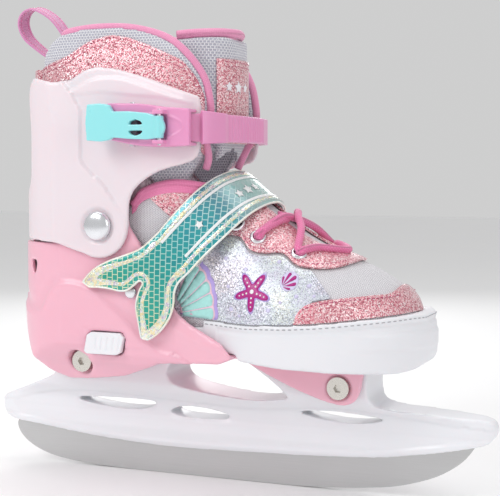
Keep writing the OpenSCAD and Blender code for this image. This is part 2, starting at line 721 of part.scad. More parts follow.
module collar_form_hollow() {
  intersection() {
    union() {
      plan(both(concat([[-92.5, 0]], [for (p = beside(collar_plan_half, 6.5)) if (p[0] > -92.3) p], [[40, 30]])),
        178.5, 260);
      plan(both(concat([[-92.5, 0]], [for (p = beside(low_collar_half, 5.5)) if (p[0] > -92.3) p], [[20, 14]])),
        110, 178.6);
    }
    side(concat(beside(collar_back, -6.5), [[-73, 260], [60, 260], [60, 100], [-92.5, 100]]), -60, 60);
  }
}

module collar() {
  color(mesh_grey)
    difference() {
      intersection() {
        collar_form(0);
        side(collar_side, -60, 60);
      }
      collar_form_hollow();
      collar_edge_cord(4.5);
    }
}

panel_band = concat([[-92, 206], [-90, 222], [-74, 224], [-63, 226.5]], spline([[-50, 234.2], [-37, 237],
  [-27, 235.2], [-14, 230.4], [3.8, 221.5], [11, 212.5]], 3), [[12, 206]]);
module collar_panel() {
  color(glitter_pink)
    difference() {
      intersection() {
        collar_form(0.9);
        side(concat(reversed(panel_band), [[-84, 218.5], [-72, 215.6], [-60, 216.5], [-48, 222.2], [-34.6, 221.6],
          [-16.8, 216.7], [1.2, 210.4]]), -60, 60);
        side(concat(beside(collar_back, 0.9), [[-78, 260], [60, 260], [60, 100], [-99, 100]]), -60, 60);
      }
      collar_form(0.02);
    }
}

function collar_edge_out(x, z) = min(lookup(x, [for (p = collar_plan_half) [p[0], p[1]]]),
  lookup(z, [[158, 33], [166, 35.5], [177, 39.4], [205, 39.8], [224, 39], [246, 36.5]])) - 3;
collar_edge = concat(
  [for (p = [[2.4, 161.5], [5, 167], [10.4, 174]]) [p[0], -19.4 - (p[1] - 161) / 3.5, p[1]]],
  [for (p = [[13.4, 185], [16, 195], [15.8, 202], [13.4, 212.7], [8, 222.2], [0.6, 230], [-9, 235.6], [-23, 239.6],
    [-36, 241.2], [-52, 241.2], [-66, 239]]) [p[0], -collar_edge_out(p[0], p[1]), p[1]]],
  [[-73.2, -20, 236.4], [-75.8, -8, 235], [-76.4, 0, 234.6]]
);

module collar_edge_cord(d) {
  cord(through(collar_edge), d, [-35, 0, 200]);
}

module collar_binding() {
  color(deep_pink) collar_edge_cord(4.4);
}

tongue_plan_half = spline([[20.8, 0], [20, 7], [17.2, 14.5], [11.5, 20.5], [3, 24.6], [-8, 27]]);
tongue_side = [[4, 173.5], [9, 169.8], [13.4, 173.2], [16.2, 179], [18.4, 190], [20.2, 204], [20.8, 218], [20, 230],
  [19.2, 234.8], [17.4, 236.2], [-9, 234.4], [-9.5, 190], [-4, 180]];
tongue_section = across_both([[14, 160], [14.6, 179.4], [23.5, 184], [26.5, 200], [26.5, 245]]);

module tongue_form(o) {
  intersection() {
    side(concat([for (p = tongue_side) p + [p[0] > 10 ? o : 0, 0]]), -60, 60);
    plan(both(beside(tongue_plan_half, o)), 150, 260);
  }
}

module tongue() {
  color(mesh_grey)
    difference() {
      intersection() {
        tongue_form(0);
        endwise(tongue_section, -20, 40);
      }
      plan(both(concat([[14.8, 0]], [for (p = beside(tongue_plan_half, -6)) if (p[1] > 1) p], [[-30, 22]])), 150, 260);
    }
}

module tongue_panel() {
  color(glitter_pink)
    difference() {
      intersection() {
        tongue_form(0.8);
        side([[4, 181], [40, 183.5], [40, 224.4], [30, 225.6], [4, 224.4]], -21.5, 21.5);
      }
      tongue_form(0.02);
    }
}

module tongue_binding() {
  color(deep_pink)
    cord(through([[-6, -24.2, 237], [0, -22.6, 237.6], [7.4, -18.4, 238.2], [13.4, -13, 238.6], [16.8, -6.8, 238.8],
      [18.2, 0, 239]]), 4.4, [-20, 0, 200]);
}

loop_mid = spline([[-81.5, 231.2], [-86.4, 243], [-94, 252.5], [-104.5, 258.4], [-111.5, 257], [-114.4, 250.5],
  [-111, 242.5], [-103, 235.6], [-94, 229.8], [-84, 226]], 3);
module pull_loop() {
  color(deep_pink) side(concat(beside(loop_mid, -0.6), reversed(beside(loop_mid, 0.6))), -5, 5);
}

// ---------- buckle ----------

base_outline = concat(spline([[-31.5, 182.2], [-13.8, 179], [0, 178.4], [14, 179]], 3), [[14, 197.2]],
  spline([[0, 198.2], [-13.8, 200.1], [-31.5, 200.6]], 3));
lever_axis = [-1, -55.6];
lever_nose = 3.6;

module buckle_base() {
  color(deep_pink)
    difference() {
      union() {
        side(base_outline, -53, -cuff_half - 0.02);
        for (z = [179.6, 194.5]) translate([-4, -58, z]) cube([6, 5.2, 2.2]);
      }
      translate([-16.5, -50.3, ladder_z - 7.4]) cube([40, 4, 14.8]);
      translate([-25, -50.3, 181.6]) cube([9, 10, 13.2]);
      translate([3, -50.3, ladder_z - 7.4]) cube([20, 10, 14.8]);
      translate([-20.5, -cuff_half - 3.2, 170]) cylinder(d = 3, h = 40);
      translate([-19, -53.2, ladder_z - 4.6]) cube([10, 3, 9.2]);
      translate([lever_axis[0], lever_axis[1], ladder_z - 6.1]) cylinder(r = lever_nose + 0.4, h = 12.4);
      translate([lever_axis[0], lever_axis[1], 170]) cylinder(d = 2, h = 40);
    }
}

module buckle_pin() {
  color(steel) translate([-20.5, -cuff_half - 3.2, 178.8]) cylinder(d = 3, h = 22.4);
}

module lever_pin() {
  color(steel) translate([lever_axis[0], lever_axis[1], 179]) cylinder(d = 2, h = 18);
}

module buckle_lever() {
  color(aqua)
    difference() {
      union() {
        side(spline([[-1, 182.8], [1.4, 184.8], [2.3, 188], [1.4, 191.2], [-1, 193.2]], 3), -56.8, -54.7);
        side(concat([[-1, 182.6], [-1, 193.4]], spline([[-8, 195.2], [-18, 196.2], [-27, 196.2]], 3),
          spline([[-29, 199.6], [-34, 200.4], [-41.4, 200]], 3), spline([[-42.4, 190.6], [-41.6, 181.8]], 3),
          spline([[-34, 181.2], [-29, 182], [-27, 183.2]], 3), spline([[-18, 182.4], [-8, 182]], 3)), -56.8, -53.6);
        side([[-31.9, 182.4], [-31.9, 199.3], [-41, 199.4], [-42, 190.6], [-41.2, 182.2]], -53.7, -51.6);
        translate([lever_axis[0], lever_axis[1], 182.4]) cylinder(d = 4.4, h = 11.3);
      }
      for (s = [-1, 1])
        side([for (p = [[-18.2, 1.5], [-17, 3.1], [-14, 4.1], [-11, 3.1], [-9.6, 1.5]]) [p[0], ladder_z + s * p[1]]],
          -60, -50);
      translate([lever_axis[0], lever_axis[1], 170]) cylinder(d = 2 + 2 * pivot_clearance, h = 40);
    }
}

// Inner line of the ladder strap in plan, from the buckle round the front to the hinge
ladder_line = concat([[-8, -47.2], [4, -47.1]], spline([[11, -46], [16.6, -42], [20.4, -35], [22.8, -25],
  [24.2, -13], [24.8, 0], [24.4, 11], [22.9, 21], [21, 30], [18, 37.6], [12, 43], [4, 44.5]], 4), [[-5.7, 44.6]]);
cover_line = [for (p = ladder_line) if (p[1] < -30 && p[0] > 13.8) p];

module ladder_strap() {
  line = ladder_line;
  color(deep_pink) {
    translate([0, 0, ladder_z - ladder_height / 2])
      linear_extrude(ladder_height)
        polygon(concat(line, reversed(beside(line, ladder_thickness))));
    intersection() {
      plan(concat(beside(cover_line, ladder_thickness - 0.1), reversed(beside(cover_line, 5.4))), 170, 210);
      side([[14.2, 179.2], [26, 180.6], [26, 195.2], [14.2, 197]], -60, 0);
    }
    for (i = [14:28]) {
      p = ladder_line[i];
      d = ladder_line[i + 1] - ladder_line[i - 1];
      translate([p[0], p[1], ladder_z - ladder_height / 2 + 0.8])
        rotate([0, 0, atan2(d[1], d[0])])
          translate([-0.6, -ladder_thickness - 0.7, 0])
            cube([1.2, 1, ladder_height - 1.6]);
    }
  }
}

module strap_tab() {
  color(deep_pink)
    difference() {
      side(concat([[-6.3, ladder_z - 7]], [[-6.3, ladder_z + 7], [-18, ladder_z + 7]],
        arc([-19, ladder_z], 7, 90, 270, 8)), cuff_half + 0.02, 46.6);
      along_y([-18, ladder_z], 4, 20, 60);
    }
}

module strap_rivet() {
  color(silver) {
    along_y([-18, ladder_z], 8, 46.6, 48);
    along_y([-18, ladder_z], 4, 40.5, 46.6);
    along_y([-18, ladder_z], 8, 39.9, 40.5);
  }
}

// ---------- drawing ----------

blade();
blade_holder();
blade_pins();
heel_shell();
rear_bolt();
rear_nut();
front_bolt();
front_nut();
heel_liner();
heel_footbed();
shell_rivets();
cuff_rivets();
toe_sole();
slide_rack();
rack_screws();
toe_footbed();
toe_upper();
toe_cap();
side_panels();
eyestay();
eyelets();
laces();
topline_binding();
strap_base();
loop_patch();
tail_flap();
hook_patch();
size_button();
button_spring();
cuff();
collar();
collar_panel();
collar_binding();
tongue();
tongue_panel();
tongue_binding();
pull_loop();
buckle_base();
buckle_pin();
lever_pin();
strap_tab();
strap_rivet();
buckle_lever();
ladder_strap();
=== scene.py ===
"""Looks for a child's ice skate: plastics, fabrics, trim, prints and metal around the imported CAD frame."""
import math

import bmesh
import bpy
import numpy as np
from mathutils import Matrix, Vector
from mathutils.bvhtree import BVHTree
from mathutils.geometry import delaunay_2d_cdt


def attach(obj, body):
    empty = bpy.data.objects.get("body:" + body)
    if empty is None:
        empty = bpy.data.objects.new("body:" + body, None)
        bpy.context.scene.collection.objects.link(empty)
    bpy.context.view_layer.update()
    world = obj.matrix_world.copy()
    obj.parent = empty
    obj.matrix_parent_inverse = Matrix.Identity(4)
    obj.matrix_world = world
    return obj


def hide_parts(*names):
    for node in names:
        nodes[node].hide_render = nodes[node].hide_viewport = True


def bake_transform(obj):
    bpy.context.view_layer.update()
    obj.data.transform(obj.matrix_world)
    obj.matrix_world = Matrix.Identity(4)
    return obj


MM = 0.001
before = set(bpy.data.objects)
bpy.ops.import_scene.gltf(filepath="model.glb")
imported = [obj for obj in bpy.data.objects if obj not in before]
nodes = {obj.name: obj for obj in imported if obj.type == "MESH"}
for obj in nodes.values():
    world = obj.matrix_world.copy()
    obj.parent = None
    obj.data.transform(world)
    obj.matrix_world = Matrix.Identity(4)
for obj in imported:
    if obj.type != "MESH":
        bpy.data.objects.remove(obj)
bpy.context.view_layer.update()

# ---------- curves and numbers ----------


def lerp(a, b, t):
    return a + (b - a) * t


def clamp(v, low=0.0, high=1.0):
    return min(max(v, low), high)


def bump(v, centre, width):
    """A soft hump of height 1 at centre."""
    return np.exp(-(((v - centre) / width) ** 2))


def smoothstep(a, b, v):
    t = np.clip((v - a) / (b - a), 0, 1)
    return t * t * (3 - 2 * t)


def spline(points, steps=6):
    """Smooth curve through the points, as a list of tuples."""
    p = [np.array(q, float) for q in points]
    last = len(p) - 1
    out = []
    for i in range(last):
        a, b, c, d = p[max(i - 1, 0)], p[i], p[i + 1], p[min(i + 2, last)]
        for k in range(steps):
            t = k / steps
            out.append(0.5 * (2 * b + (c - a) * t + (2 * a - 5 * b + 4 * c - d) * t * t
                              + (3 * b - a - 3 * c + d) * t ** 3))
    return [tuple(q) for q in out + [p[-1]]]


def table(x, xs, ys):
    """Smooth lookup of y at x."""
    xs, ys = np.array(xs, float), np.array(ys, float)
    slopes = np.gradient(ys, xs)
    i = int(np.clip(np.searchsorted(xs, x) - 1, 0, len(xs) - 2))
    h = xs[i + 1] - xs[i]
    t = clamp((x - xs[i]) / h)
    a, b = ys[i], ys[i + 1]
    return ((2 * t ** 3 - 3 * t * t + 1) * a + (t ** 3 - 2 * t * t + t) * h * slopes[i]
            + (3 * t * t - 2 * t ** 3) * b + (t ** 3 - t * t) * h * slopes[i + 1])


def even(path, step):
    """The path resampled at an even spacing close to step."""
    p = np.array(path, float)
    d = np.r_[0, np.cumsum(np.linalg.norm(np.diff(p, axis=0), axis=1))]
    n = max(2, int(round(d[-1] / step)) + 1)
    s = np.linspace(0, d[-1], n)
    return np.stack([np.interp(s, d, p[:, k]) for k in range(p.shape[1])], axis=1)


# ---------- mesh helpers ----------


def new_object(name, vertices, faces, uv=None):
    """Mesh object from millimetre points. uv holds one (u, v) in millimetres per vertex."""
    mesh = bpy.data.meshes.new(name)
    mesh.from_pydata([tuple(float(c) * MM for c in v) for v in vertices], [], faces)
    mesh.validate()
    if uv is not None:
        layer = mesh.uv_layers.new(name="UVMap")
        for loop in mesh.loops:
            layer.data[loop.index].uv = uv[loop.vertex_index]
    mesh.shade_smooth()
    obj = bpy.data.objects.new(name, mesh)
    bpy.context.scene.collection.objects.link(obj)
    return obj


def apply_modifiers(obj):
    """The object's mesh as its modifiers leave it."""
    bpy.context.view_layer.update()
    depsgraph = bpy.context.evaluated_depsgraph_get()
    mesh = bpy.data.meshes.new_from_object(obj.evaluated_get(depsgraph), depsgraph=depsgraph)
    obj.modifiers.clear()
    obj.data = mesh
    return obj


def fix_normals(obj):
    b = bmesh.new()
    b.from_mesh(obj.data)
    bmesh.ops.recalc_face_normals(b, faces=b.faces)
    b.to_mesh(obj.data)
    b.free()
    return obj


def grid(rows, closed_u=False, closed_v=False):
    """Faces of a grid of rows. closed_u joins the last column to the first, closed_v the last row to
    the first."""
    m, n = len(rows), len(rows[0])
    faces = []
    for i in range(m if closed_v else m - 1):
        for j in range(n if closed_u else n - 1):
            a, b = i * n + j, i * n + (j + 1) % n
            c, d = ((i + 1) % m) * n + (j + 1) % n, ((i + 1) % m) * n + j
            faces.append((a, b, c, d))
    return faces


def grid_object(name, rows, material, **closed):
    """Surface through the rows of points, with UVs that run along it in millimetres."""
    rows = np.array(rows, float)
    across = np.r_[0, np.cumsum(np.linalg.norm(np.diff(rows, axis=0), axis=2).mean(axis=1))]
    along = np.concatenate([np.zeros((len(rows), 1)),
                            np.cumsum(np.linalg.norm(np.diff(rows, axis=1), axis=2), axis=1)], axis=1)
    uv = [(along[i, j], across[i]) for i in range(rows.shape[0]) for j in range(rows.shape[1])]
    obj = new_object(name, rows.reshape(-1, 3), grid(rows, **closed), uv)
    obj.data.materials.append(material)
    return obj


def thicken(obj, thickness, offset=1.0, bevel=0.0):
    """Turns a sheet into a closed piece, with rounded rims."""
    m = obj.modifiers.new("thick", "SOLIDIFY")
    m.thickness = thickness * MM
    m.offset = offset
    m.use_even_offset = True
    m.use_quality_normals = True
    if bevel:
        m = obj.modifiers.new("round", "BEVEL")
        m.width = bevel * MM
        m.segments = 3
        m.limit_method = "ANGLE"
        m.angle_limit = math.radians(50)
    apply_modifiers(obj)
    obj.data.shade_smooth()
    return obj


def tube(name, path, radius, material, segments=14, closed=False, flat=1.0, up=None):
    """Round or flattened cord along the path (millimetres). radius may be a list. up keeps the
    section from turning."""
    p = np.array(path, float)
    m = len(p)
    radius = np.broadcast_to(np.array(radius, float), (m,))
    if closed:
        t = np.roll(p, -1, axis=0) - np.roll(p, 1, axis=0)
    else:
        t = np.gradient(p, axis=0)
    t /= np.linalg.norm(t, axis=1)[:, None]
    normal = np.array(up if up is not None else (0, 0, 1), float)
    if abs(normal @ t[0]) > 0.9:
        normal = np.array((0, 1.0, 0))
    rows = []
    for i in range(m):
        if up is not None:
            normal = np.array(up if not callable(up) else up(p[i]), float)
        normal = normal - (normal @ t[i]) * t[i]
        normal /= np.linalg.norm(normal)
        side = np.cross(t[i], normal)
        ring = []
        for k in range(segments):
            a = 2 * math.pi * k / segments
            ring.append(p[i] + radius[i] * (math.cos(a) * side + flat * math.sin(a) * normal))
        rows.append(ring)
    points = np.array(rows).reshape(-1, 3)
    d = np.r_[0, np.cumsum(np.linalg.norm(np.diff(p, axis=0), axis=1))]
    uv = [(d[i], 2 * math.pi * radius[i] * k / segments) for i in range(m) for k in range(segments)]
    faces = grid(rows, closed_u=True, closed_v=closed)
    if not closed:
        faces += [tuple(range(segments))[::-1], tuple((m - 1) * segments + k for k in range(segments))]
    obj = new_object(name, points, faces, uv)
    obj.data.materials.append(material)
    return fix_normals(obj)


def lathe(name, profile, centre, axis, material, segments=40):
    """Turned piece. profile holds (radius, height) pairs along the axis, from the axis out and back."""
    axis = Vector(axis).normalized()
    turn = axis.to_track_quat("Z", "Y").to_matrix()
    centre = Vector(centre)
    rows = []
    for r, h in profile:
        rows.append([tuple(centre + turn @ Vector((max(r, 0.001) * math.cos(2 * math.pi * k / segments),
                                                   max(r, 0.001) * math.sin(2 * math.pi * k / segments),
                                                   h)))
                     for k in range(segments)])
    obj = new_object(name, np.array(rows).reshape(-1, 3), grid(rows, closed_u=True))
    b = bmesh.new()
    b.from_mesh(obj.data)
    bmesh.ops.remove_doubles(b, verts=b.verts, dist=0.004 * MM)
    bmesh.ops.holes_fill(b, edges=[e for e in b.edges if e.is_boundary])
    bmesh.ops.recalc_face_normals(b, faces=b.faces)
    b.to_mesh(obj.data)
    b.free()
    obj.data.shade_smooth()
    obj.data.materials.append(material)
    return obj


def join(name, pieces):
    """One object from several."""
    with bpy.context.temp_override(active_object=pieces[0], selected_editable_objects=pieces,
                                   selected_objects=pieces, object=pieces[0]):
        bpy.ops.object.join()
    pieces[0].name = name
    pieces[0].data.name = name
    return pieces[0]


def sculpted(name, sources, material, voxel=0.9, rounds=10):
    """Rounded, moulded-looking copy of CAD solids, fused on a fine grid."""
    parts = []
    for s in sources:
        copy = nodes[s].copy()
        copy.data = nodes[s].data.copy()
        copy.parent = None
        for key in list(copy.keys()):
            del copy[key]
        bpy.context.scene.collection.objects.link(copy)
        parts.append(copy)
    obj = join(name, parts) if len(parts) > 1 else parts[0]
    obj.name = name
    obj.modifiers.clear()
    m = obj.modifiers.new("remesh", "REMESH")
    m.mode = "VOXEL"
    m.voxel_size = voxel * MM
    m.adaptivity = 0
    m = obj.modifiers.new("smooth", "SMOOTH")
    m.factor = 0.5
    m.iterations = rounds
    apply_modifiers(obj)
    obj.data.materials.clear()
    obj.data.materials.append(material)
    obj.data.shade_smooth()
    return obj


def box_uv(obj):
    """Cloth coordinates in millimetres: each face takes the two axes it lies closest to."""
    mesh = obj.data
    layer = mesh.uv_layers.new(name="cloth").data
    for face in mesh.polygons:
        n = [abs(c) for c in face.normal]
        a, b = ((0, 2) if n[1] >= max(n[0], n[2]) else (1, 2)) if n[2] < 0.8 else (0, 1)
        for i in face.loop_indices:
            co = mesh.vertices[mesh.loops[i].vertex_index].co
            layer[i].uv = (co[a] / MM, co[b] / MM)
    return obj


def carve(obj, depth):
    """Moves each point along its normal by depth(points, normals), all in millimetres."""
    mesh = obj.data
    n = len(mesh.vertices)
    co, no = np.zeros(n * 3), np.zeros(n * 3)
    mesh.vertices.foreach_get("co", co)
    mesh.vertices.foreach_get("normal", no)
    co, no = co.reshape(-1, 3), no.reshape(-1, 3)
    co += no * depth(co / MM, no)[:, None] * MM
    mesh.vertices.foreach_set("co", co.ravel())
    mesh.update()
    return obj


def distance_to(points, line):
    """Distance of points (n, 2) to an open line, and the side of it they lie on (+1 left of its
    direction)."""
    line = np.array(line, float)
    best = np.full(len(points), 1e9)
    side = np.zeros(len(points))
    for a, b in zip(line[:-1], line[1:]):
        d = b - a
        t = np.clip(((points - a) @ d) / (d @ d), 0, 1)
        q = points - a - t[:, None] * d
        r = np.hypot(q[:, 0], q[:, 1])
        s = np.sign(d[0] * (points[:, 1] - a[1]) - d[1] * (points[:, 0] - a[0]))
        closer = r < best
        best = np.where(closer, r, best)
        side = np.where(closer, s, side)
    return best, side


def inside(points, outline):
    """True for points (n, 2) inside the closed outline."""
    o = np.array(outline, float)
    hit = np.zeros(len(points), bool)
    for a, b in zip(o, np.roll(o, -1, axis=0)):
        crosses = (a[1] > points[:, 1]) != (b[1] > points[:, 1])
        with np.errstate(divide="ignore", invalid="ignore"):
            x = (b[0] - a[0]) * (points[:, 1] - a[1]) / (b[1] - a[1]) + a[0]
        hit ^= crosses & (points[:, 0] < x)
    return hit


# ---------- materials ----------


class Nodes:
    """Short way to write a material's node tree."""

    def __init__(self, name):
        self.material = bpy.data.materials.new(name)
        self.material.use_nodes = True
        self.tree = self.material.node_tree
        self.bsdf = self.tree.nodes["Principled BSDF"]

    def add(self, kind, **sockets):
        node = self.tree.nodes.new("ShaderNode" + kind)
        for key, value in sockets.items():
            if hasattr(node, key) and key not in node.inputs:
                setattr(node, key, value)
            elif isinstance(value, bpy.types.NodeSocket):
                self.tree.links.new(value, node.inputs[key.replace("_", " ")])
            else:
                node.inputs[key.replace("_", " ")].default_value = value
        return node

    def math(self, operation, a, b=0.0, clamped=False):
        node = self.tree.nodes.new("ShaderNodeMath")
        node.operation = operation
        node.use_clamp = clamped
        for i, value in enumerate((a, b)):
            if isinstance(value, bpy.types.NodeSocket):
                self.tree.links.new(value, node.inputs[i])
            else:
                node.inputs[i].default_value = value
        return node.outputs[0]

    def mix(self, factor, a, b, blend="MIX"):
        node = self.tree.nodes.new("ShaderNodeMix")
        node.data_type = "RGBA"
        node.blend_type = blend
        for index, value in ((0, factor), (6, a), (7, b)):
            if isinstance(value, bpy.types.NodeSocket):
                self.tree.links.new(value, node.inputs[index])
            else:
                node.inputs[index].default_value = (*value, 1) if index and len(value) == 3 else value
        return node.outputs[2]

    def ramp(self, factor, stops, interpolation="LINEAR"):
        node = self.tree.nodes.new("ShaderNodeValToRGB")
        node.color_ramp.interpolation = interpolation
        elements = node.color_ramp.elements
        while len(elements) < len(stops):
            elements.new(0.5)
        for e, (position, colour) in zip(elements, stops):
            e.position = position
            e.color = (*colour, 1) if len(colour) == 3 else colour
        self.tree.links.new(factor, node.inputs[0])
        return node.outputs[0]

    def place(self, uv=False, scale=(1, 1, 1), rotation=(0, 0, 0), location=(0, 0, 0)):
        """Object or UV coordinates in millimetres, scaled."""
        coordinates = self.tree.nodes.new("ShaderNodeTexCoord")
        mapping = self.tree.nodes.new("ShaderNodeMapping")
        self.tree.links.new(coordinates.outputs["UV" if uv else "Object"], mapping.inputs[0])
        k = 1 if uv else 1 / MM
        mapping.inputs["Scale"].default_value = tuple(s * k for s in scale)
        mapping.inputs["Rotation"].default_value = rotation
        mapping.inputs["Location"].default_value = location
        return mapping.outputs[0]

    def bump(self, height, distance, strength=1.0, normal=None):
        node = self.tree.nodes.new("ShaderNodeBump")
        node.inputs["Distance"].default_value = distance * MM
        node.inputs["Strength"].default_value = strength
        self.tree.links.new(height, node.inputs["Height"])
        if normal is not None:
            self.tree.links.new(normal, node.inputs["Normal"])
        return node.outputs[0]

    def surface(self, **sockets):
        for key, value in sockets.items():
            target = self.bsdf.inputs[key.replace("_", " ")]
            if isinstance(value, bpy.types.NodeSocket):
                self.tree.links.new(value, target)
            else:
                target.default_value = (*value, 1) if isinstance(value, tuple) and len(value) == 3 \
                    and target.type == "RGBA" else value
        return self.material


def plastic(name, colour, deep=None, roughness=0.3, coat=0.25, subsurface=0.0, grain=0.02):
    """Moulded plastic with faint mottling, a soft skin texture and small changes of gloss."""
    n = Nodes(name)
    at = n.place()
    cloud = n.add("TexNoise", Vector=at, Scale=0.03, Detail=3.0).outputs[0]
    fine = n.add("TexNoise", Vector=at, Scale=1.6, Detail=2.0).outputs[0]
    colour_out = n.mix(n.math("MULTIPLY", cloud, 0.6), colour, deep or tuple(c * 0.94 for c in colour))
    rough = n.math("ADD", n.math("MULTIPLY", cloud, 0.1), roughness - 0.05)
    return n.surface(Base_Color=colour_out, Roughness=rough, Normal=n.bump(fine, grain, 0.35),
                     Coat_Weight=coat,
                     Coat_Roughness=0.12, Subsurface_Weight=subsurface, Subsurface_Radius=(1.0, 0.45, 0.4),
                     Subsurface_Scale=0.003, IOR=1.47)


def metal(name, colour, roughness=0.2, brushed=(0.02, 0.6, 2.5), depth=0.01):
    """Metal with fine scratches drawn along one axis."""
    n = Nodes(name)
    scratches = n.add("TexNoise", Vector=n.place(scale=brushed), Scale=2.0, Detail=6.0,
                      Roughness=0.7).outputs[0]
    cloud = n.add("TexNoise", Vector=n.place(), Scale=0.05, Detail=2.0).outputs[0]
    tone = n.mix(n.math("MULTIPLY", scratches, 0.5), colour, tuple(c * 0.7 for c in colour))
    rough = n.math("ADD", n.math("MULTIPLY", scratches, 0.22),
                   n.math("ADD", n.math("MULTIPLY", cloud, 0.08),
                          roughness - 0.12))
    return n.surface(Base_Color=tone, Metallic=1.0, Roughness=rough, Normal=n.bump(scratches, depth, 0.5))


def glitter(name, stops, flake=0.5, tilt=0.5, metallic=0.35, roughness=0.32, holo=0.0):
    """Glitter cloth: flakes of many tones, each tilted its own way, under a thin clear film."""
    n = Nodes(name)
    at = n.place()
    cells = n.add("TexVoronoi", Vector=at, Scale=1 / flake)
    parts = n.add("SeparateColor", Color=cells.outputs["Color"])
    tone = n.ramp(parts.outputs[0], stops)
    if holo:
        sweep = n.add("TexNoise", Vector=at, Scale=0.045, Detail=1.5).outputs[0]
        hue = n.math("ADD", n.math("MULTIPLY", sweep, 1.6), n.math("MULTIPLY", parts.outputs[1], 0.45))
        rainbow = n.ramp(n.math("FRACT", hue), [(0.0, (0.80, 0.86, 0.98)), (0.2, (0.84, 0.80, 0.95)),
                                                (0.4, (0.97, 0.84, 0.88)), (0.6, (0.98, 0.94, 0.78)),
                                                (0.8, (0.82, 0.95, 0.88)), (1.0, (0.80, 0.86, 0.98))])
        tone = n.mix(holo, tone, rainbow, "MULTIPLY")
    offset = n.add("VectorMath", operation="SUBTRACT")
    n.tree.links.new(cells.outputs["Color"], offset.inputs[0])
    offset.inputs[1].default_value = (0.5, 0.5, 0.5)
    scaled = n.add("VectorMath", operation="SCALE")
    n.tree.links.new(offset.outputs[0], scaled.inputs[0])
    scaled.inputs["Scale"].default_value = tilt
    geometry = n.add("NewGeometry")
    summed = n.add("VectorMath", operation="ADD")
    n.tree.links.new(geometry.outputs["Normal"], summed.inputs[0])
    n.tree.links.new(scaled.outputs[0], summed.inputs[1])
    unit = n.add("VectorMath", operation="NORMALIZE")
    n.tree.links.new(summed.outputs[0], unit.inputs[0])
    return n.surface(Base_Color=tone, Metallic=metallic, Roughness=roughness, Normal=unit.outputs[0],
                     Coat_Weight=0.5, Coat_Roughness=0.08)


def air_mesh(name, light, dark, pitch=1.15, uv=True, depth=0.35, roughness=0.75):
    """Knitted spacer mesh: rows of small staggered holes between raised yarns."""
    n = Nodes(name)
    at = n.place(uv=uv, scale=(1 / pitch, 1 / (pitch * 0.8), 1 / pitch))
    cells = n.add("TexBrick", Vector=at, Scale=1.0, offset=0.5, squash=1.0)
    for socket, value in (("Color1", (0, 0, 0, 1)), ("Color2", (0, 0, 0, 1)), ("Mortar", (1, 1, 1, 1)),
                          ("Mortar Size", 0.27), ("Mortar Smooth", 0.9), ("Brick Width", 1.0),
                          ("Row Height", 1.0)):
        cells.inputs[socket].default_value = value
    yarn = cells.outputs["Fac"]
    fuzz = n.add("TexNoise", Vector=n.place(), Scale=2.2, Detail=3.0).outputs[0]
    cloud = n.add("TexNoise", Vector=n.place(), Scale=0.06, Detail=2.0).outputs[0]
    worn = tuple(c * 0.93 for c in light)
    # the holes take the dark tone and the yarns the light one: painted shade in the holes; the broad cloud is
    # a random change of tone
    tone = n.mix(yarn, dark, n.mix(cloud, light, worn))
    height = n.math("ADD", yarn, n.math("MULTIPLY", fuzz, 0.25))
    return n.surface(Base_Color=tone, Roughness=roughness, Normal=n.bump(height, depth, 0.7),
                     Sheen_Weight=0.35, Sheen_Roughness=0.5)


def woven(name, colour, dark, pitch=0.9, uv=True, depth=0.15, slant=0.0, roughness=0.62, sheen=0.4):
    """Tape or webbing: over-and-under threads, with a broad change of tone."""
    n = Nodes(name)
    at = n.place(uv=uv, rotation=(0, 0, slant), scale=(1 / pitch, 1 / pitch, 1 / pitch))
    warp = n.add("TexWave", Vector=at, wave_type="BANDS", bands_direction="X", Scale=0.31, Distortion=0.4,
                 Detail=1.0).outputs["Fac"]
    weft = n.add("TexWave", Vector=at, wave_type="BANDS", bands_direction="Y", Scale=0.31, Distortion=0.4,
                 Detail=1.0).outputs["Fac"]
    thread = n.math("MULTIPLY", warp, weft)
    cloud = n.add("TexNoise", Vector=n.place(), Scale=0.08, Detail=3.0).outputs[0]
    # tone runs dark between the threads and light on their crossings: painted shade in the gaps; the cloud
    # part is a random broad change of tone
    tone = n.mix(n.math("ADD", n.math("MULTIPLY", thread, 0.7), n.math("MULTIPLY", cloud, 0.4), True), dark,
                 colour)
    return n.surface(Base_Color=tone, Roughness=roughness, Normal=n.bump(thread, depth, 0.8),
                     Sheen_Weight=sheen,
                     Sheen_Roughness=0.4)


def foil(name, stops, scale=0.5, metallic=0.75, roughness=0.22):
    """Crinkled iridescent foil."""
    n = Nodes(name)
    at = n.place()
    patch = n.add("TexVoronoi", Vector=at, Scale=scale)
    shade = n.add("SeparateColor", Color=patch.outputs["Color"]).outputs[0]
    crinkle = n.add("TexNoise", Vector=at, Scale=0.9, Detail=4.0).outputs[0]
    tone = n.ramp(n.math("FRACT", n.math("ADD", shade, n.math("MULTIPLY", crinkle, 0.6))), stops)
    return n.surface(Base_Color=tone, Metallic=metallic, Roughness=roughness,
                     Normal=n.bump(crinkle, 0.25, 0.8),
                     Coat_Weight=0.6, Coat_Roughness=0.06)


def flat_print(name, colour, roughness=0.35, metallic=0.0, coat=0.3):
    """Printed or rubbery film with slight mottling."""
    n = Nodes(name)
    at = n.place()
    cloud = n.add("TexNoise", Vector=at, Scale=0.5, Detail=4.0).outputs[0]
    tone = n.mix(cloud, tuple(min(c * 1.06, 1) for c in colour), tuple(c * 0.86 for c in colour))
    return n.surface(Base_Color=tone, Roughness=roughness, Metallic=metallic,
                     Normal=n.bump(cloud, 0.05, 0.4),
                     Coat_Weight=coat, Coat_Roughness=0.15)


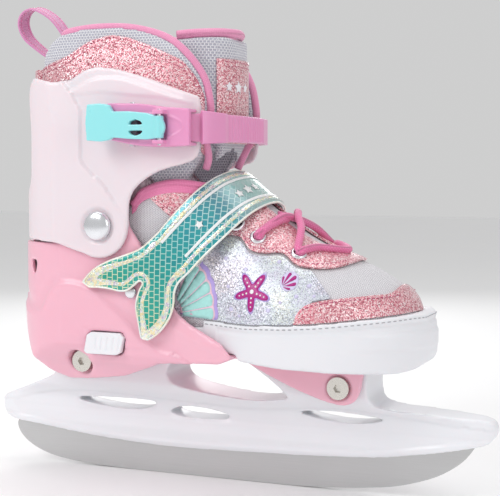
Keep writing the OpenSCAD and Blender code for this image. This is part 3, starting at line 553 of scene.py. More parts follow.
mat_shell = plastic("pink_plastic", (0.90, 0.50, 0.60), (0.86, 0.42, 0.54), roughness=0.32, coat=0.3,
                    subsurface=0.12)
mat_cuff = plastic("milky_plastic", (0.82, 0.74, 0.78), (0.84, 0.68, 0.73), roughness=0.36, coat=0.25,
                   subsurface=0.2)
mat_white = plastic("white_plastic", (0.86, 0.86, 0.89), (0.80, 0.80, 0.85), roughness=0.3, coat=0.35,
                    subsurface=0.08)
mat_sole = plastic("white_sole", (0.84, 0.84, 0.87), (0.77, 0.77, 0.82), roughness=0.42, coat=0.12,
                   subsurface=0.06)
mat_buckle = plastic("buckle_pink", (0.80, 0.33, 0.56), (0.76, 0.28, 0.52), roughness=0.34, coat=0.25,
                     subsurface=0.1)
mat_lever = plastic("turquoise_plastic", (0.33, 0.80, 0.82), (0.26, 0.74, 0.78), roughness=0.28, coat=0.4,
                    subsurface=0.1)
mat_blade = metal("blade_steel", (0.62, 0.62, 0.62), roughness=0.36, brushed=(0.015, 0.6, 1.6), depth=0.012)
mat_bolt = metal("bolt_steel", (0.72, 0.69, 0.64), roughness=0.26, brushed=(0.5, 0.5, 0.5), depth=0.02)
mat_rivet = metal("silver_metal", (0.86, 0.87, 0.90), roughness=0.2, brushed=(0.3, 0.3, 0.3), depth=0.006)
mat_glitter = glitter("glitter_pink", [(0.0, (0.30, 0.05, 0.08)), (0.3, (0.62, 0.18, 0.24)),
                                       (0.6, (0.86, 0.44, 0.48)),
                                       (0.85, (0.98, 0.74, 0.76)), (1.0, (1.0, 0.95, 0.95))])
mat_silver = glitter("glitter_silver", [(0.0, (0.30, 0.30, 0.34)), (0.35, (0.62, 0.62, 0.66)),
                                        (0.7, (0.86, 0.86, 0.88)),
                                        (1.0, (1.0, 1.0, 1.0))], flake=0.42, tilt=0.45, metallic=0.3,
                     holo=0.75)
mat_mesh = air_mesh("white_mesh", (0.93, 0.92, 0.94), (0.55, 0.53, 0.58), pitch=1.15)
mat_pad = air_mesh("padding", (0.86, 0.86, 0.90), (0.42, 0.42, 0.50), pitch=1.75, depth=0.5)
mat_lining = air_mesh("lining", (0.80, 0.66, 0.72), (0.55, 0.40, 0.46), pitch=1.4, uv=False)
mat_trim = woven("pink_trim", (0.98, 0.40, 0.60), (0.80, 0.16, 0.38), pitch=0.8)
mat_binding = woven("pink_binding", (0.92, 0.42, 0.60), (0.74, 0.24, 0.44), pitch=0.9, uv=True, depth=0.14)
mat_lace = woven("lace_cord", (0.98, 0.38, 0.58), (0.74, 0.10, 0.32), pitch=1.2, slant=0.75, depth=0.35)
mat_loop_tape = woven("loop_tape", (0.86, 0.52, 0.68), (0.62, 0.20, 0.44), pitch=0.9, depth=0.12)
mat_thread = woven("thread", (0.88, 0.86, 0.84), (0.62, 0.60, 0.58), pitch=0.5, uv=False, depth=0.05)
mat_pink_thread = woven("pink_thread", (0.62, 0.12, 0.24), (0.40, 0.05, 0.14), pitch=0.5, uv=False,
                        depth=0.05)
mat_grey_thread = woven("grey_thread", (0.50, 0.50, 0.53), (0.34, 0.34, 0.37), pitch=0.5, uv=False,
                        depth=0.05)
mat_stripe = flat_print("white_stripe", (0.88, 0.90, 0.90), roughness=0.28)
mat_edge = foil("strap_edge", [(0.0, (0.86, 0.82, 0.66)), (0.35, (0.94, 0.92, 0.84)),
                               (0.7, (0.80, 0.86, 0.84)),
                               (1.0, (0.95, 0.92, 0.78))], scale=0.25, metallic=0.2, roughness=0.35)
mat_star_magenta = flat_print("starfish_magenta", (0.46, 0.0, 0.22), roughness=0.42)
mat_lavender = flat_print("lavender", (0.50, 0.38, 0.80), roughness=0.4)
mat_pale_lavender = flat_print("pale_lavender", (0.70, 0.66, 0.90), roughness=0.4)
mat_aqua = flat_print("fan_aqua", (0.42, 0.80, 0.76), roughness=0.42)
mat_fan_pink = flat_print("fan_pink", (0.90, 0.62, 0.74), roughness=0.42)
mat_dot = flat_print("print_white", (0.92, 0.90, 0.94), roughness=0.4)
# near-black film for the eyelet holes: painted shade inside each hole, not a part's own colour
mat_eyelet_painted_shade = flat_print("eyelet_hole_painted_shade", (0.02, 0.02, 0.025), roughness=0.6)
mat_foam = woven("insole_cloth", (0.80, 0.42, 0.58), (0.58, 0.24, 0.40), pitch=0.9, uv=False, depth=0.15)
mat_hook = air_mesh("hook_and_loop", (0.80, 0.80, 0.82), (0.45, 0.45, 0.48), pitch=0.8, uv=False, depth=0.6)


# ---------- camera, floor and light ----------

TARGET = Vector((0.025, 0.0, 0.1255))
AZIMUTH, ELEVATION, DISTANCE = math.radians(22), math.radians(3.5), 0.64


def add_camera():
    back = Vector((math.sin(AZIMUTH) * math.cos(ELEVATION), -math.cos(AZIMUTH) * math.cos(ELEVATION),
                   math.sin(ELEVATION)))
    data = bpy.data.cameras.new("camera")
    data.lens = 86.4
    data.sensor_width = 36.0
    data.clip_start = 0.01
    camera = bpy.data.objects.new("camera", data)
    camera.location = TARGET + back * DISTANCE
    camera.rotation_euler = back.to_track_quat("Z", "Y").to_euler()
    bpy.context.scene.collection.objects.link(camera)
    bpy.context.scene.camera = camera


def area_light(name, where, at, size, power, colour=(1, 1, 1)):
    data = bpy.data.lights.new(name, "AREA")
    data.shape = "RECTANGLE"
    data.size, data.size_y = size
    data.energy = power
    data.color = colour
    light = bpy.data.objects.new(name, data)
    light.location = where
    light.rotation_euler = (Vector(where) - Vector(at)).to_track_quat("Z", "Y").to_euler()
    bpy.context.scene.collection.objects.link(light)


def add_studio():
    n = Nodes("floor_white")
    cloud = n.add("TexNoise", Vector=n.place(), Scale=0.004, Detail=2.0).outputs[0]
    floor_colour = n.mix(cloud, (0.96, 0.96, 0.96), (0.94, 0.94, 0.95))
    material = n.surface(Base_Color=floor_colour, Roughness=0.55)
    floor = new_object("floor", [(-4000, -4000, -0.2), (4000, -4000, -0.2), (4000, 4000, -0.2),
                                 (-4000, 4000, -0.2)],
                       [(0, 1, 2, 3)])
    floor.data.materials.append(material)
    world = bpy.data.worlds.new("studio")
    bpy.context.scene.world = world
    world.use_nodes = True
    world.node_tree.nodes["Background"].inputs[0].default_value = (1.0, 1.0, 1.0, 1)
    world.node_tree.nodes["Background"].inputs[1].default_value = 0.62
    area_light("key", (-0.45, -0.75, 0.75), (0, 0, 0.12), (0.5, 0.5), 3.9)
    area_light("fill", (0.85, -0.5, 0.45), (0.03, 0, 0.1), (0.6, 0.6), 1.3)
    area_light("top", (0.0, 0.1, 1.0), (0, 0, 0.1), (0.9, 0.6), 2.6)
    area_light("rim", (-0.3, 0.8, 0.5), (0, 0, 0.12), (0.5, 0.4), 1.8)
    view = bpy.context.scene.view_settings
    view.view_transform = "Standard"
    view.look = "None"
    view.exposure = 0.0


add_camera()
add_studio()

# ---------- shape of the front shoe ----------

BASE_Z = 86.0
STATION_X = [-34, -20, -8, 2, 10, 18, 25, 35, 45, 55, 65, 75, 85, 93, 100, 106, 111, 115, 117, 118]
HALF_WIDTH = [35.3, 35.3, 35.3, 35.3, 35.3, 36.4, 38, 40.8, 43.3, 44.9, 45.3, 44.6, 42.4, 38.8, 34.6, 29.8,
              23.5, 15.5,
              9, 4]
CREST = [300, 280, 240, 206, 184, 163, 158, 149.5, 141.5, 134.5, 128.8, 124.2, 120.4, 117, 113, 109.5, 106,
         101.5, 98,
         95]
ROUND = [2.6, 2.6, 2.6, 2.6, 2.5, 2, 2, 2, 2, 2, 2.05, 2.1, 2.15, 2.2, 2.3, 2.3, 2.4, 2.4, 2.4, 2.4]


def station(x):
    x = clamp(x, STATION_X[0], STATION_X[-1])
    return table(x, STATION_X, HALF_WIDTH), table(x, STATION_X, CREST) - BASE_Z, table(x, STATION_X, ROUND)


def skin(x, angle, offset=0.0):
    """Point of the upper at x. The angle runs from the outer side (0) over the crest (90) to the
    inner side (180)."""
    half, rise, power = station(x)
    a = math.radians(angle)
    k = clamp((x - 92) / 26)
    c, s = math.cos(a), math.sin(a)
    return (x + offset * k, -math.copysign(max(half + offset, 0.1) * abs(c) ** (2 / power), c),
            BASE_Z + (rise + offset) * max(s, 0) ** (2 / power))


def angle_at(x, z):
    _, rise, power = station(x)
    return math.degrees(math.asin(clamp((z - BASE_Z) / rise) ** (power / 2)))


def skin_at(x, z, offset=0.0, side=-1):
    """Point of the upper seen at (x, z) from the side. side is -1 for the outer side, +1 for the inner."""
    p = skin(x, angle_at(x, z), offset)
    return (p[0], -side * p[1], p[2])


def height_at(x, y):
    half, rise, power = station(x)
    return BASE_Z + rise * (1 - min(abs(y) / half, 1) ** power) ** (1 / power)


RIM_X = [-20, 15, 39, 64, 80, 96, 119]
RIM_Z = [92.2, 91, 90.1, 91.3, 92.6, 94.3, 96.4]


def rim(x):
    return table(x, RIM_X, RIM_Z)


TOPLINE = spline([(-34, 147), (-26, 149), (-22, 154.5), (-12, 158.5), (-2, 159.8), (8, 158.6), (13, 157.6),
                  (18.6, 156.5)], 5)
TOP_X = [p[0] for p in TOPLINE]
TOP_Z = [p[1] for p in TOPLINE]


def topline(x):
    return float(np.interp(x, TOP_X, TOP_Z))


def side_patch(low, high, columns, rows, offset, side):
    """Grid of points between two edges given in the side view. low and high are functions of x."""
    out = []
    for x in columns:
        a, b = angle_at(x, low(x)), angle_at(x, high(x))
        out.append([skin(x, lerp(a, b, j / rows), offset) for j in range(rows + 1)])
    return [[(p[0], -side * p[1], p[2]) for p in row] for row in out]


# ---------- flat shapes and how they lie on a surface ----------


def fill(outline, spacing):
    """Triangles that fill an outline, with inner points at an even spacing. Returns points (n, 2) and
    faces."""
    loop = even(list(outline) + [outline[0]], spacing)[:-1]
    points = [tuple(p) for p in loop]
    edges = [(i, (i + 1) % len(loop)) for i in range(len(loop))]
    low, high = loop.min(axis=0), loop.max(axis=0)
    xs = np.arange(low[0] + spacing / 2, high[0], spacing)
    zs = np.arange(low[1] + spacing / 2, high[1], spacing * 0.87)
    lattice = np.array([(x + (k % 2) * spacing / 2, z) for k, z in enumerate(zs) for x in xs])
    ok = inside(lattice, loop)
    ok &= distance_to(lattice, np.vstack([loop, loop[:1]]))[0] > spacing * 0.45
    points += [tuple(p) for p in lattice[ok]]
    result = delaunay_2d_cdt([Vector(p) for p in points], edges, [], 0, 1e-6)
    flat = np.array([tuple(v) for v in result[0]])
    faces = [tuple(f) for f in result[2]]
    middle = np.array([flat[list(f)].mean(axis=0) for f in faces])
    faces = [f for f, kept in zip(faces, inside(middle, loop)) if kept]
    used = sorted({i for f in faces for i in f})
    index = {v: i for i, v in enumerate(used)}
    return flat[used], [tuple(index[i] for i in f) for f in faces]


def lay(name, outline, place, material, spacing=1.5, thickness=0.25):
    """Flat shape filled, laid on a surface by place(x, z) and given a thickness outwards."""
    flat, faces = fill(outline, spacing)
    obj = new_object(name, [place(x, z) for x, z in flat], faces, [tuple(p) for p in flat])
    obj.data.materials.append(material)
    face_outwards(obj)
    return thicken(obj, thickness)


def face_outwards(obj, centre=(0.02, 0.0, 0.1)):
    """Turns an open sheet's faces away from the centre."""
    total = sum((f.center - Vector(centre)).dot(f.normal) * f.area for f in obj.data.polygons)
    if total < 0:
        b = bmesh.new()
        b.from_mesh(obj.data)
        bmesh.ops.reverse_faces(b, faces=b.faces)
        b.to_mesh(obj.data)
        b.free()
    return obj


def stitches(name, path, material, pitch=2.4, length=1.6, radius=0.26):
    """Row of sewn stitches along a path that lies on the surface."""
    p = even(path, 0.4)
    d = np.r_[0, np.cumsum(np.linalg.norm(np.diff(p, axis=0), axis=1))]
    vertices, faces = [], []
    start = pitch / 2
    while start + length < d[-1]:
        marks = [start + length * t for t in (0.0, 0.12, 0.5, 0.88, 1.0)]
        centres = np.stack([np.interp(marks, d, p[:, k]) for k in range(3)], axis=1)
        along = centres[-1] - centres[0]
        along /= np.linalg.norm(along)
        side = np.cross(along, (0.13, 0.31, 0.94))
        side /= np.linalg.norm(side)
        up = np.cross(side, along)
        base = len(vertices)
        for c, r in zip(centres, (0.25, 0.8, 1.0, 0.8, 0.25)):
            for k in range(6):
                a = math.pi * k / 3
                vertices.append(c + radius * r * (math.cos(a) * side + math.sin(a) * up))
        for i in range(4):
            for k in range(6):
                a, b = base + i * 6 + k, base + i * 6 + (k + 1) % 6
                faces.append((a, b, b + 6, a + 6))
        faces += [tuple(base + k for k in range(5, -1, -1)), tuple(base + 24 + k for k in range(6))]
        start += pitch
    obj = new_object(name, vertices, faces)
    obj.data.materials.append(material)
    return obj


def drape(points, target, outward, offset):
    """Points moved onto a surface: each is cast against the direction it faces and lifted by offset."""
    out = []
    for p, d in zip(points, outward):
        d = Vector(d).normalized()
        origin = Vector(p) * MM + d * 0.03
        hit, normal, _, _ = target.ray_cast(origin, -d, 0.08)
        q = hit + d * offset * MM if hit is not None else Vector(p) * MM
        out.append(tuple(c / MM for c in q))
    return out


def surface_of(obj):
    b = bmesh.new()
    b.from_mesh(obj.data)
    tree = BVHTree.FromBMesh(b)
    b.free()
    return tree


def star(centre, outer, inner, turn=90.0):
    """Star outline with rounded tips."""
    points = []
    for k in range(10):
        r = outer if k % 2 == 0 else inner
        a = math.radians(turn + 180 * k / 5)
        points.append((centre[0] + r * math.cos(a), centre[1] + r * math.sin(a)))
    return [p for k in range(10) for p in soften(points[k - 1], points[k], points[(k + 1) % 10], 3)]


def soften(a, b, c, steps, reach=0.22):
    """Corner at b cut to a small curve."""
    a, b, c = (np.array(p, float) for p in (a, b, c))
    p, q = lerp(b, a, reach), lerp(b, c, reach)
    return [tuple((1 - t) ** 2 * p + 2 * t * (1 - t) * b + t * t * q) for t in np.linspace(0, 1, steps)]


def circle(centre, radius, n=20, squash=1.0):
    return [(centre[0] + radius * math.cos(2 * math.pi * k / n),
             centre[1] + squash * radius * math.sin(2 * math.pi * k / n))
            for k in range(n)]


def finish(obj, body, replaces=()):
    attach(obj, body)
    if replaces:
        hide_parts(*replaces)
    return obj


# ---------- blade and holder ----------


def dress(node, material, bevel=0.0):
    """Keeps a CAD node's shape and gives it its finish, with slightly broken edges."""
    obj = nodes[node]
    obj.data.materials.clear()
    obj.data.materials.append(material)
    if bevel:
        m = obj.modifiers.new("broken_edges", "BEVEL")
        m.width = bevel * MM
        m.segments = 2
        m.limit_method = "ANGLE"
        m.angle_limit = math.radians(40)
        m.harden_normals = True
    obj.data.shade_smooth()
    m = obj.modifiers.new("smooth_by_angle", "EDGE_SPLIT")
    m.split_angle = math.radians(35)
    return obj


HOLDER_LOWER = spline([(-118, 24.3), (-90, 21.2), (-65, 18.3), (-25, 16), (28, 16.8), (90, 19.7),
                       (120, 23.9),
                       (147, 29.3)], 4)
HOLDER_STEP = spline([(-120, 36.5), (-98, 42.0), (-76, 44.6), (-45, 44.4), (-4, 42.4), (30, 41.4),
                      (75, 45.2),
                      (110, 43.0), (140, 40.0)], 5)


def make_holder():
    holder = sculpted("skate_holder", ["blade_holder"], mat_white, voxel=0.85, rounds=7)

    def depth(p, normal):
        side = smoothstep(0.35, 0.8, np.abs(normal[:, 1]))
        below, where = distance_to(p[:, [0, 2]], HOLDER_STEP)
        panel = np.where(where < 0, smoothstep(0.0, 1.6, below), 0)
        lower = np.interp(p[:, 0], [q[0] for q in HOLDER_LOWER], [q[1] for q in HOLDER_LOWER])
        lip = 1 - smoothstep(3.0, 4.2, p[:, 2] - lower)
        return side * (-0.7 * panel * (1 - lip) + 0.15 * lip)

    carve(holder, depth)
    finish(holder, "chassis", ["blade_holder"])


dress("blade", mat_blade, 0.25)
dress("blade_pins", mat_bolt, 0.2)
make_holder()

# ---------- heel shell, cuff and their fasteners ----------

SHELL_CREASE = spline([(-101, 97), (-92, 92.5), (-82, 93.5), (-76.5, 102), (-68, 108.5), (-52, 107.3),
                       (-39, 99.1),
                       (-26.5, 88.4), (-16, 78.5), (-4, 73.5)], 5)
SHELL_SWEEP = spline([(-52, 104.5), (-34, 100), (-14, 92), (4, 84), (22, 77.5)], 5)


def make_shell():
    shell = sculpted("pink_heel_shell", ["heel_shell"], mat_shell, voxel=0.95, rounds=9)

    def depth(p, normal):
        side = smoothstep(0.2, 0.75, np.hypot(normal[:, 1], np.minimum(normal[:, 0], 0)))
        outer = (np.abs(p[:, 1]) > 20) | (p[:, 0] < -80)
        far, where = distance_to(p[:, [0, 2]], SHELL_CREASE)
        below = np.where(where < 0, 1.0, 0.0)
        pad = below * smoothstep(0, 2.6, far) * np.exp(-far / 26.0)
        above = (1 - below) * np.exp(-((far - 3.0) / 3.0) ** 2)
        sweep, _ = distance_to(p[:, [0, 2]], SHELL_SWEEP)
        ridge = np.exp(-((sweep / 2.6) ** 2))
        button = np.exp(-(np.maximum(np.abs(p[:, 0] + 41.4) - 12.5, 0) ** 2
                          + np.maximum(np.abs(p[:, 2] - 76) - 6.5, 0) ** 2) / 3.0) * (p[:, 1] < -20)
        lower = smoothstep(60, 66, p[:, 2])
        return outer * side * lower * (1.5 * pad - 0.5 * above + 0.6 * ridge - 0.5 * button)

    carve(shell, depth)
    finish(shell, "chassis", ["heel_shell"])
    return shell


CUFF_PANEL = [(-64, 207)] + spline([(-60, 208.5), (-50, 213.2), (-43, 215.1), (-31.7, 215.1), (-20, 212.2),
                                    (-9, 208.2),
                                    (2, 204.6), (12.5, 201.3)], 4) + [(11, 199.6)] \
    + spline([(0, 201.4), (-8, 203.0), (-24, 204.6), (-41.6, 206.2), (-55, 205.6)], 4)
CUFF_RIDGE = spline([(-64, 213), (-57, 204), (-53, 196), (-53.5, 185), (-53, 173), (-48, 166), (-41, 160.5),
                     (-36, 154)], 5)


def make_cuff():
    cuff = sculpted("milky_cuff", ["cuff"], mat_cuff, voxel=0.95, rounds=9)

    def depth(p, normal):
        side = smoothstep(0.3, 0.8, np.abs(normal[:, 1])) * (np.abs(p[:, 1]) > 40)
        flat = p[:, [0, 2]]
        in_panel = inside(flat, CUFF_PANEL)
        edge, _ = distance_to(flat, CUFF_PANEL + CUFF_PANEL[:1])
        panel = np.where(in_panel, smoothstep(0, 1.5, edge), 0)
        ridge, where = distance_to(flat, CUFF_RIDGE)
        fold = np.where(where > 0, np.exp(-ridge / 9.0), 0)
        crest = np.exp(-((ridge / 2.2) ** 2))
        boss = np.hypot(p[:, 0] + 43, p[:, 2] - 138)
        dish = 1 - smoothstep(8.6, 10.2, boss)
        return side * (0.75 * panel - 1.1 * fold + 0.35 * crest - 0.8 * dish)

    carve(cuff, depth)
    finish(cuff, "cuff", ["cuff"])
    return cuff


def make_rivets():
    profile = [(0, 3.3), (2.4, 3.25), (4.6, 2.95), (6.2, 2.45), (7.1, 1.8), (7.55, 1.1), (7.8, 0.3),
               (7.8, -0.6),
               (0, -0.6)]
    pieces = [lathe("ankle_rivet", profile, (-43, s * 43.9, 138), (0, s, 0), mat_rivet) for s in (-1, 1)]
    finish(join("ankle_rivets", pieces), "chassis", ["cuff_rivets"])
    small = [(0, 1.5), (1.6, 1.42), (2.8, 1.1), (3.4, 0.5), (3.5, 0.0), (3.5, -0.8), (0, -0.8)]
    pieces = [lathe("small_rivet", small, (-25.5, s * 40.3, 103.7), (0, s, 0), mat_rivet,
                    28) for s in (-1, 1)]
    finish(join("side_rivets", pieces), "chassis", ["shell_rivets"])
    profile = [(0, 1.6), (2.2, 1.45), (3.4, 1.0), (4.0, 0.4), (4.0, -0.4), (0, -0.4)]
    finish(lathe("ladder_rivet", profile, (-18, 46.9, 188), (0, 1, 0), mat_rivet, 28), "cuff",
           ["strap_rivet"])


shell = make_shell()
cuff = make_cuff()
make_rivets()
for node in ("rear_bolt", "rear_nut", "front_bolt", "front_nut"):
    dress(node, mat_bolt, 0.45)
dress("button_spring", mat_bolt)
dress("slide_rack", mat_white, 0.3)
dress("rack_screws", mat_bolt, 0.2)


def make_button():
    button = sculpted("size_release_button", ["size_button"], mat_white, voxel=0.42, rounds=5)
    finish(button, "size_button", ["size_button"])


make_button()

# ---------- sole of the front shoe ----------


def make_sole():
    sole = sculpted("front_sole", ["toe_sole"], mat_sole, voxel=0.95, rounds=8)

    def depth(p, normal):
        out = smoothstep(0.25, 0.8, np.hypot(normal[:, 0], normal[:, 1]))
        top = np.interp(p[:, 0], RIM_X, RIM_Z)
        x, z = p[:, 0], p[:, 2]
        outer = (np.abs(p[:, 1]) > np.interp(x, [-20, 60, 110, 126], [34, 43, 22, 0])) | (x > 116)
        groove = bump(z, top - 4.6, 0.85)
        toe = smoothstep(84, 104, x)
        step = toe * smoothstep(77.5, 79.3, z) * (1 - smoothstep(86.0, 88.2, z))
        facet = toe * smoothstep(70, 77.5, z) * (1 - smoothstep(77.5, 78.6, z))
        waist = bump(z, 83.0, 4.5) * (1 - toe)
        lip = smoothstep(-3.9, -2.9, z - top)
        return out * outer * (-0.6 * groove + 0.9 * step + 0.5 * facet - 0.5 * waist + 0.35 * lip)

    carve(sole, depth)
    finish(sole, "toe_box", ["toe_sole"])
    return sole


sole = make_sole()
SOLE_HALF = spline([(-17, 36.5), (10, 36.5), (18, 37.6), (30, 40.8), (40, 43.5), (50, 45.6), (60, 46.6),
                    (70, 46.5),
                    (80, 45.4), (90, 42.6), (100, 38), (108, 32.6), (115, 25.8), (121, 17), (124.7, 8),
                    (125.8, 0)], 4)


def make_sole_stitching():
    target = surface_of(sole)
    outline = [(x, -y) for x, y in SOLE_HALF] + [(x, y) for x, y in SOLE_HALF[-2::-1]]
    path = even(outline, 1.2)
    tangent = np.gradient(path, axis=0)
    outward = [(t[1], -t[0], 0) for t in tangent]
    points = [(x, y, float(np.interp(x, RIM_X, RIM_Z)) - 2.3) for x, y in path]
    row = drape(points, target, outward, 0.12)
    finish(stitches("sole_stitching", row, mat_grey_thread, pitch=3.1, length=1.9, radius=0.3), "toe_box")


make_sole_stitching()

# ---------- upper of the front shoe ----------

UPPER_X = sorted(set([17.4, 19, 21, 23] + list(range(25, 105, 3)) + [104, 106, 108, 110, 112, 113.5, 115,
                                                                     116, 117, 118]))


def make_upper():
    rows = [[skin(x, 180 * j / 48) for j in range(49)] for x in UPPER_X]
    nose = [(118.6, -3.6 * math.cos(math.pi * j / 48),
             BASE_Z + 6 * math.sin(math.pi * j / 48)) for j in range(49)]
    vamp = grid_object("upper_vamp", rows + [nose], mat_mesh)
    face_outwards(vamp)
    thicken(vamp, 1.7, offset=-1.0)
    sides = []
    columns = [-33, -28, -24, -20, -16, -12, -8, -4, 0, 4, 8, 12, 16, 18.4]
    for side in (-1, 1):
        quarter = grid_object("upper_quarter", side_patch(lambda x: BASE_Z, topline, columns, 26, 0.0,
                                                          side), mat_mesh)
        face_outwards(quarter)
        sides.append(thicken(quarter, 1.9, offset=-1.0))
    upper = join("mesh_upper", [vamp] + sides)
    finish(upper, "toe_box", ["toe_upper"])


def edge_lookup(points, steps=5):
    """Smooth function of x through the points."""
    curve = spline(points, steps)
    xs, zs = [p[0] for p in curve], [p[1] for p in curve]
    return lambda x: float(np.interp(x, xs, zs))


CAP_TOP = edge_lookup([(66.2, 92.4), (67.2, 95.6), (69, 98.6), (73, 101.2), (80, 102.9), (90, 104),
                       (100, 104.8),
                       (106, 105), (111, 105.3)])
PANEL_TOP = edge_lookup([(-2, 108), (3, 112), (12, 122), (23, 131.8), (32, 130.6), (38, 124.8), (46, 123.2),
                         (54, 123.2),
                         (62, 118), (66, 117), (70.3, 116.7)])
STAY_LOW = edge_lookup([(19, 133), (25, 133.2), (32, 131.9), (38, 126), (46, 124.3), (54, 124.4), (62, 119),
                        (69, 117.4), (76, 117), (82, 117.6), (87, 119.4)])


def cap_high(x):
    return lerp(CAP_TOP(x), 131, clamp((x - 108.5) / 3.0) ** 0.7)


def panel_low(x):
    return rim(x) if x < 66 else lerp(rim(x), 102.5,
                                      clamp((x - 66) / 8)) if x < 74 else lerp(102.5, 103.8, (x - 74) / 8)


def panel_high(x):
    return PANEL_TOP(x) if x < 70 else lerp(116.7, 104.6, (x - 70) / 12.4)


def stay_high(x):
    throat = lerp(9.0, 7.0, clamp((x - 19) / 50))
    closing = clamp((x - 72) / 8) ** 1.5
    return height_at(x, lerp(throat, 0.0, closing))


def overlay_pair(name, low, high, columns, rows, material, thickness=0.95, offset=0.05):
    pieces = []
    for side in (-1, 1):
        sheet = grid_object(name, side_patch(low, high, columns, rows, offset, side), material)
        face_outwards(sheet)
        pieces.append(thicken(sheet, thickness, offset=1.0, bevel=0.35))
    return join(name, pieces)


def edge_path(edge, xs, offset, inset, side):
    """Line on the upper that follows an edge, inset below it (or above, when negative)."""
    return [skin_at(x, edge(x) - inset, offset, side) for x in xs]


def frange(a, b, step):
    n = int(round((b - a) / step))
    return [a + (b - a) * i / n for i in range(n + 1)]


def make_overlays():
    columns = [66.2, 66.5, 67, 67.8, 69, 71, 74, 78, 82, 86, 90, 94, 98, 101, 104, 106, 108, 109, 110, 111,
               112, 113, 114,
               115, 116, 117, 118, 118.0]
    cap = overlay_pair("toe_cap_glitter", rim, cap_high, columns, 16, mat_glitter, thickness=1.15)
    finish(cap, "toe_box", ["toe_cap"])
    panel = overlay_pair("side_panel_glitter", panel_low, panel_high, frange(-2, 82.2, 1.9), 16, mat_silver)
    finish(panel, "toe_box", ["side_panels"])
    stay = overlay_pair("eyestay_glitter", STAY_LOW, stay_high, frange(19, 86.8, 1.7), 12, mat_glitter,
                        thickness=1.25,
                        offset=0.75)
    finish(stay, "toe_box", ["eyestay"])
    triangle_low = edge_lookup([(-18, 153.5), (-13, 149), (-6, 143.5), (0, 140), (8, 139), (16, 139)])
    triangle = overlay_pair("quarter_glitter", triangle_low,
                            lambda x: max(topline(x) - 1.5, triangle_low(x) + 0.3),
                            frange(-17.5, 16, 2.2), 8, mat_glitter)
    finish(triangle, "toe_box")
    rows = []
    for side in (-1, 1):
        rows.append(stitches("row", edge_path(CAP_TOP, frange(69, 111, 2), 1.25, 1.4, side),
                             mat_pink_thread))
        rows.append(stitches("row", edge_path(STAY_LOW, frange(20, 85, 2), 2.05, -1.5, side),
                             mat_pink_thread))
        seam = [skin(x, angle_at(x, stay_high(x)) - 5, 2.05) for x in frange(20, 70, 2)]
        rows.append(stitches("row", [(x, -side * y, z) for x, y, z in seam], mat_pink_thread))
        rows.append(stitches("row", [skin_at(x, lerp(triangle_low(x), topline(x), 0.12) + 0.8, 1.05, side)
                                     for x in frange(-15, 6, 2)], mat_pink_thread, pitch=2.0, length=1.3))
    finish(join("overlay_stitching", rows), "toe_box")
    rows = []
    for side in (-1, 1):
        for inset in (1.2, 2.6):
            path = [skin_at(x, panel_high(x) - inset * 0.8, 1.05,
                            side) for x in frange(71.4 - inset, 81 - inset, 1)]
            rows.append(stitches("row", path, mat_grey_thread, pitch=2.0, length=1.3, radius=0.22))
    finish(join("panel_stitching", rows), "toe_box")


make_upper()
make_overlays()

# ---------- sea motifs on the side panels ----------

PRINT = 1.02


def on_panel(side, lift):
    return lambda x, z: skin_at(x, z, PRINT + lift, side)


def starfish_outline(centre, size, grow=0.0):
    """Five rounded arms, slightly turned."""
    points = []
    for k in range(60):
        a = 2 * math.pi * k / 60
        arm = (0.5 + 0.5 * math.cos(5 * (a - math.radians(-90)))) ** 1.35
        r = size * (0.34 + 0.66 * arm) + grow
        points.append((centre[0] + r * math.cos(a), centre[1] + r * math.sin(a)))
    return points


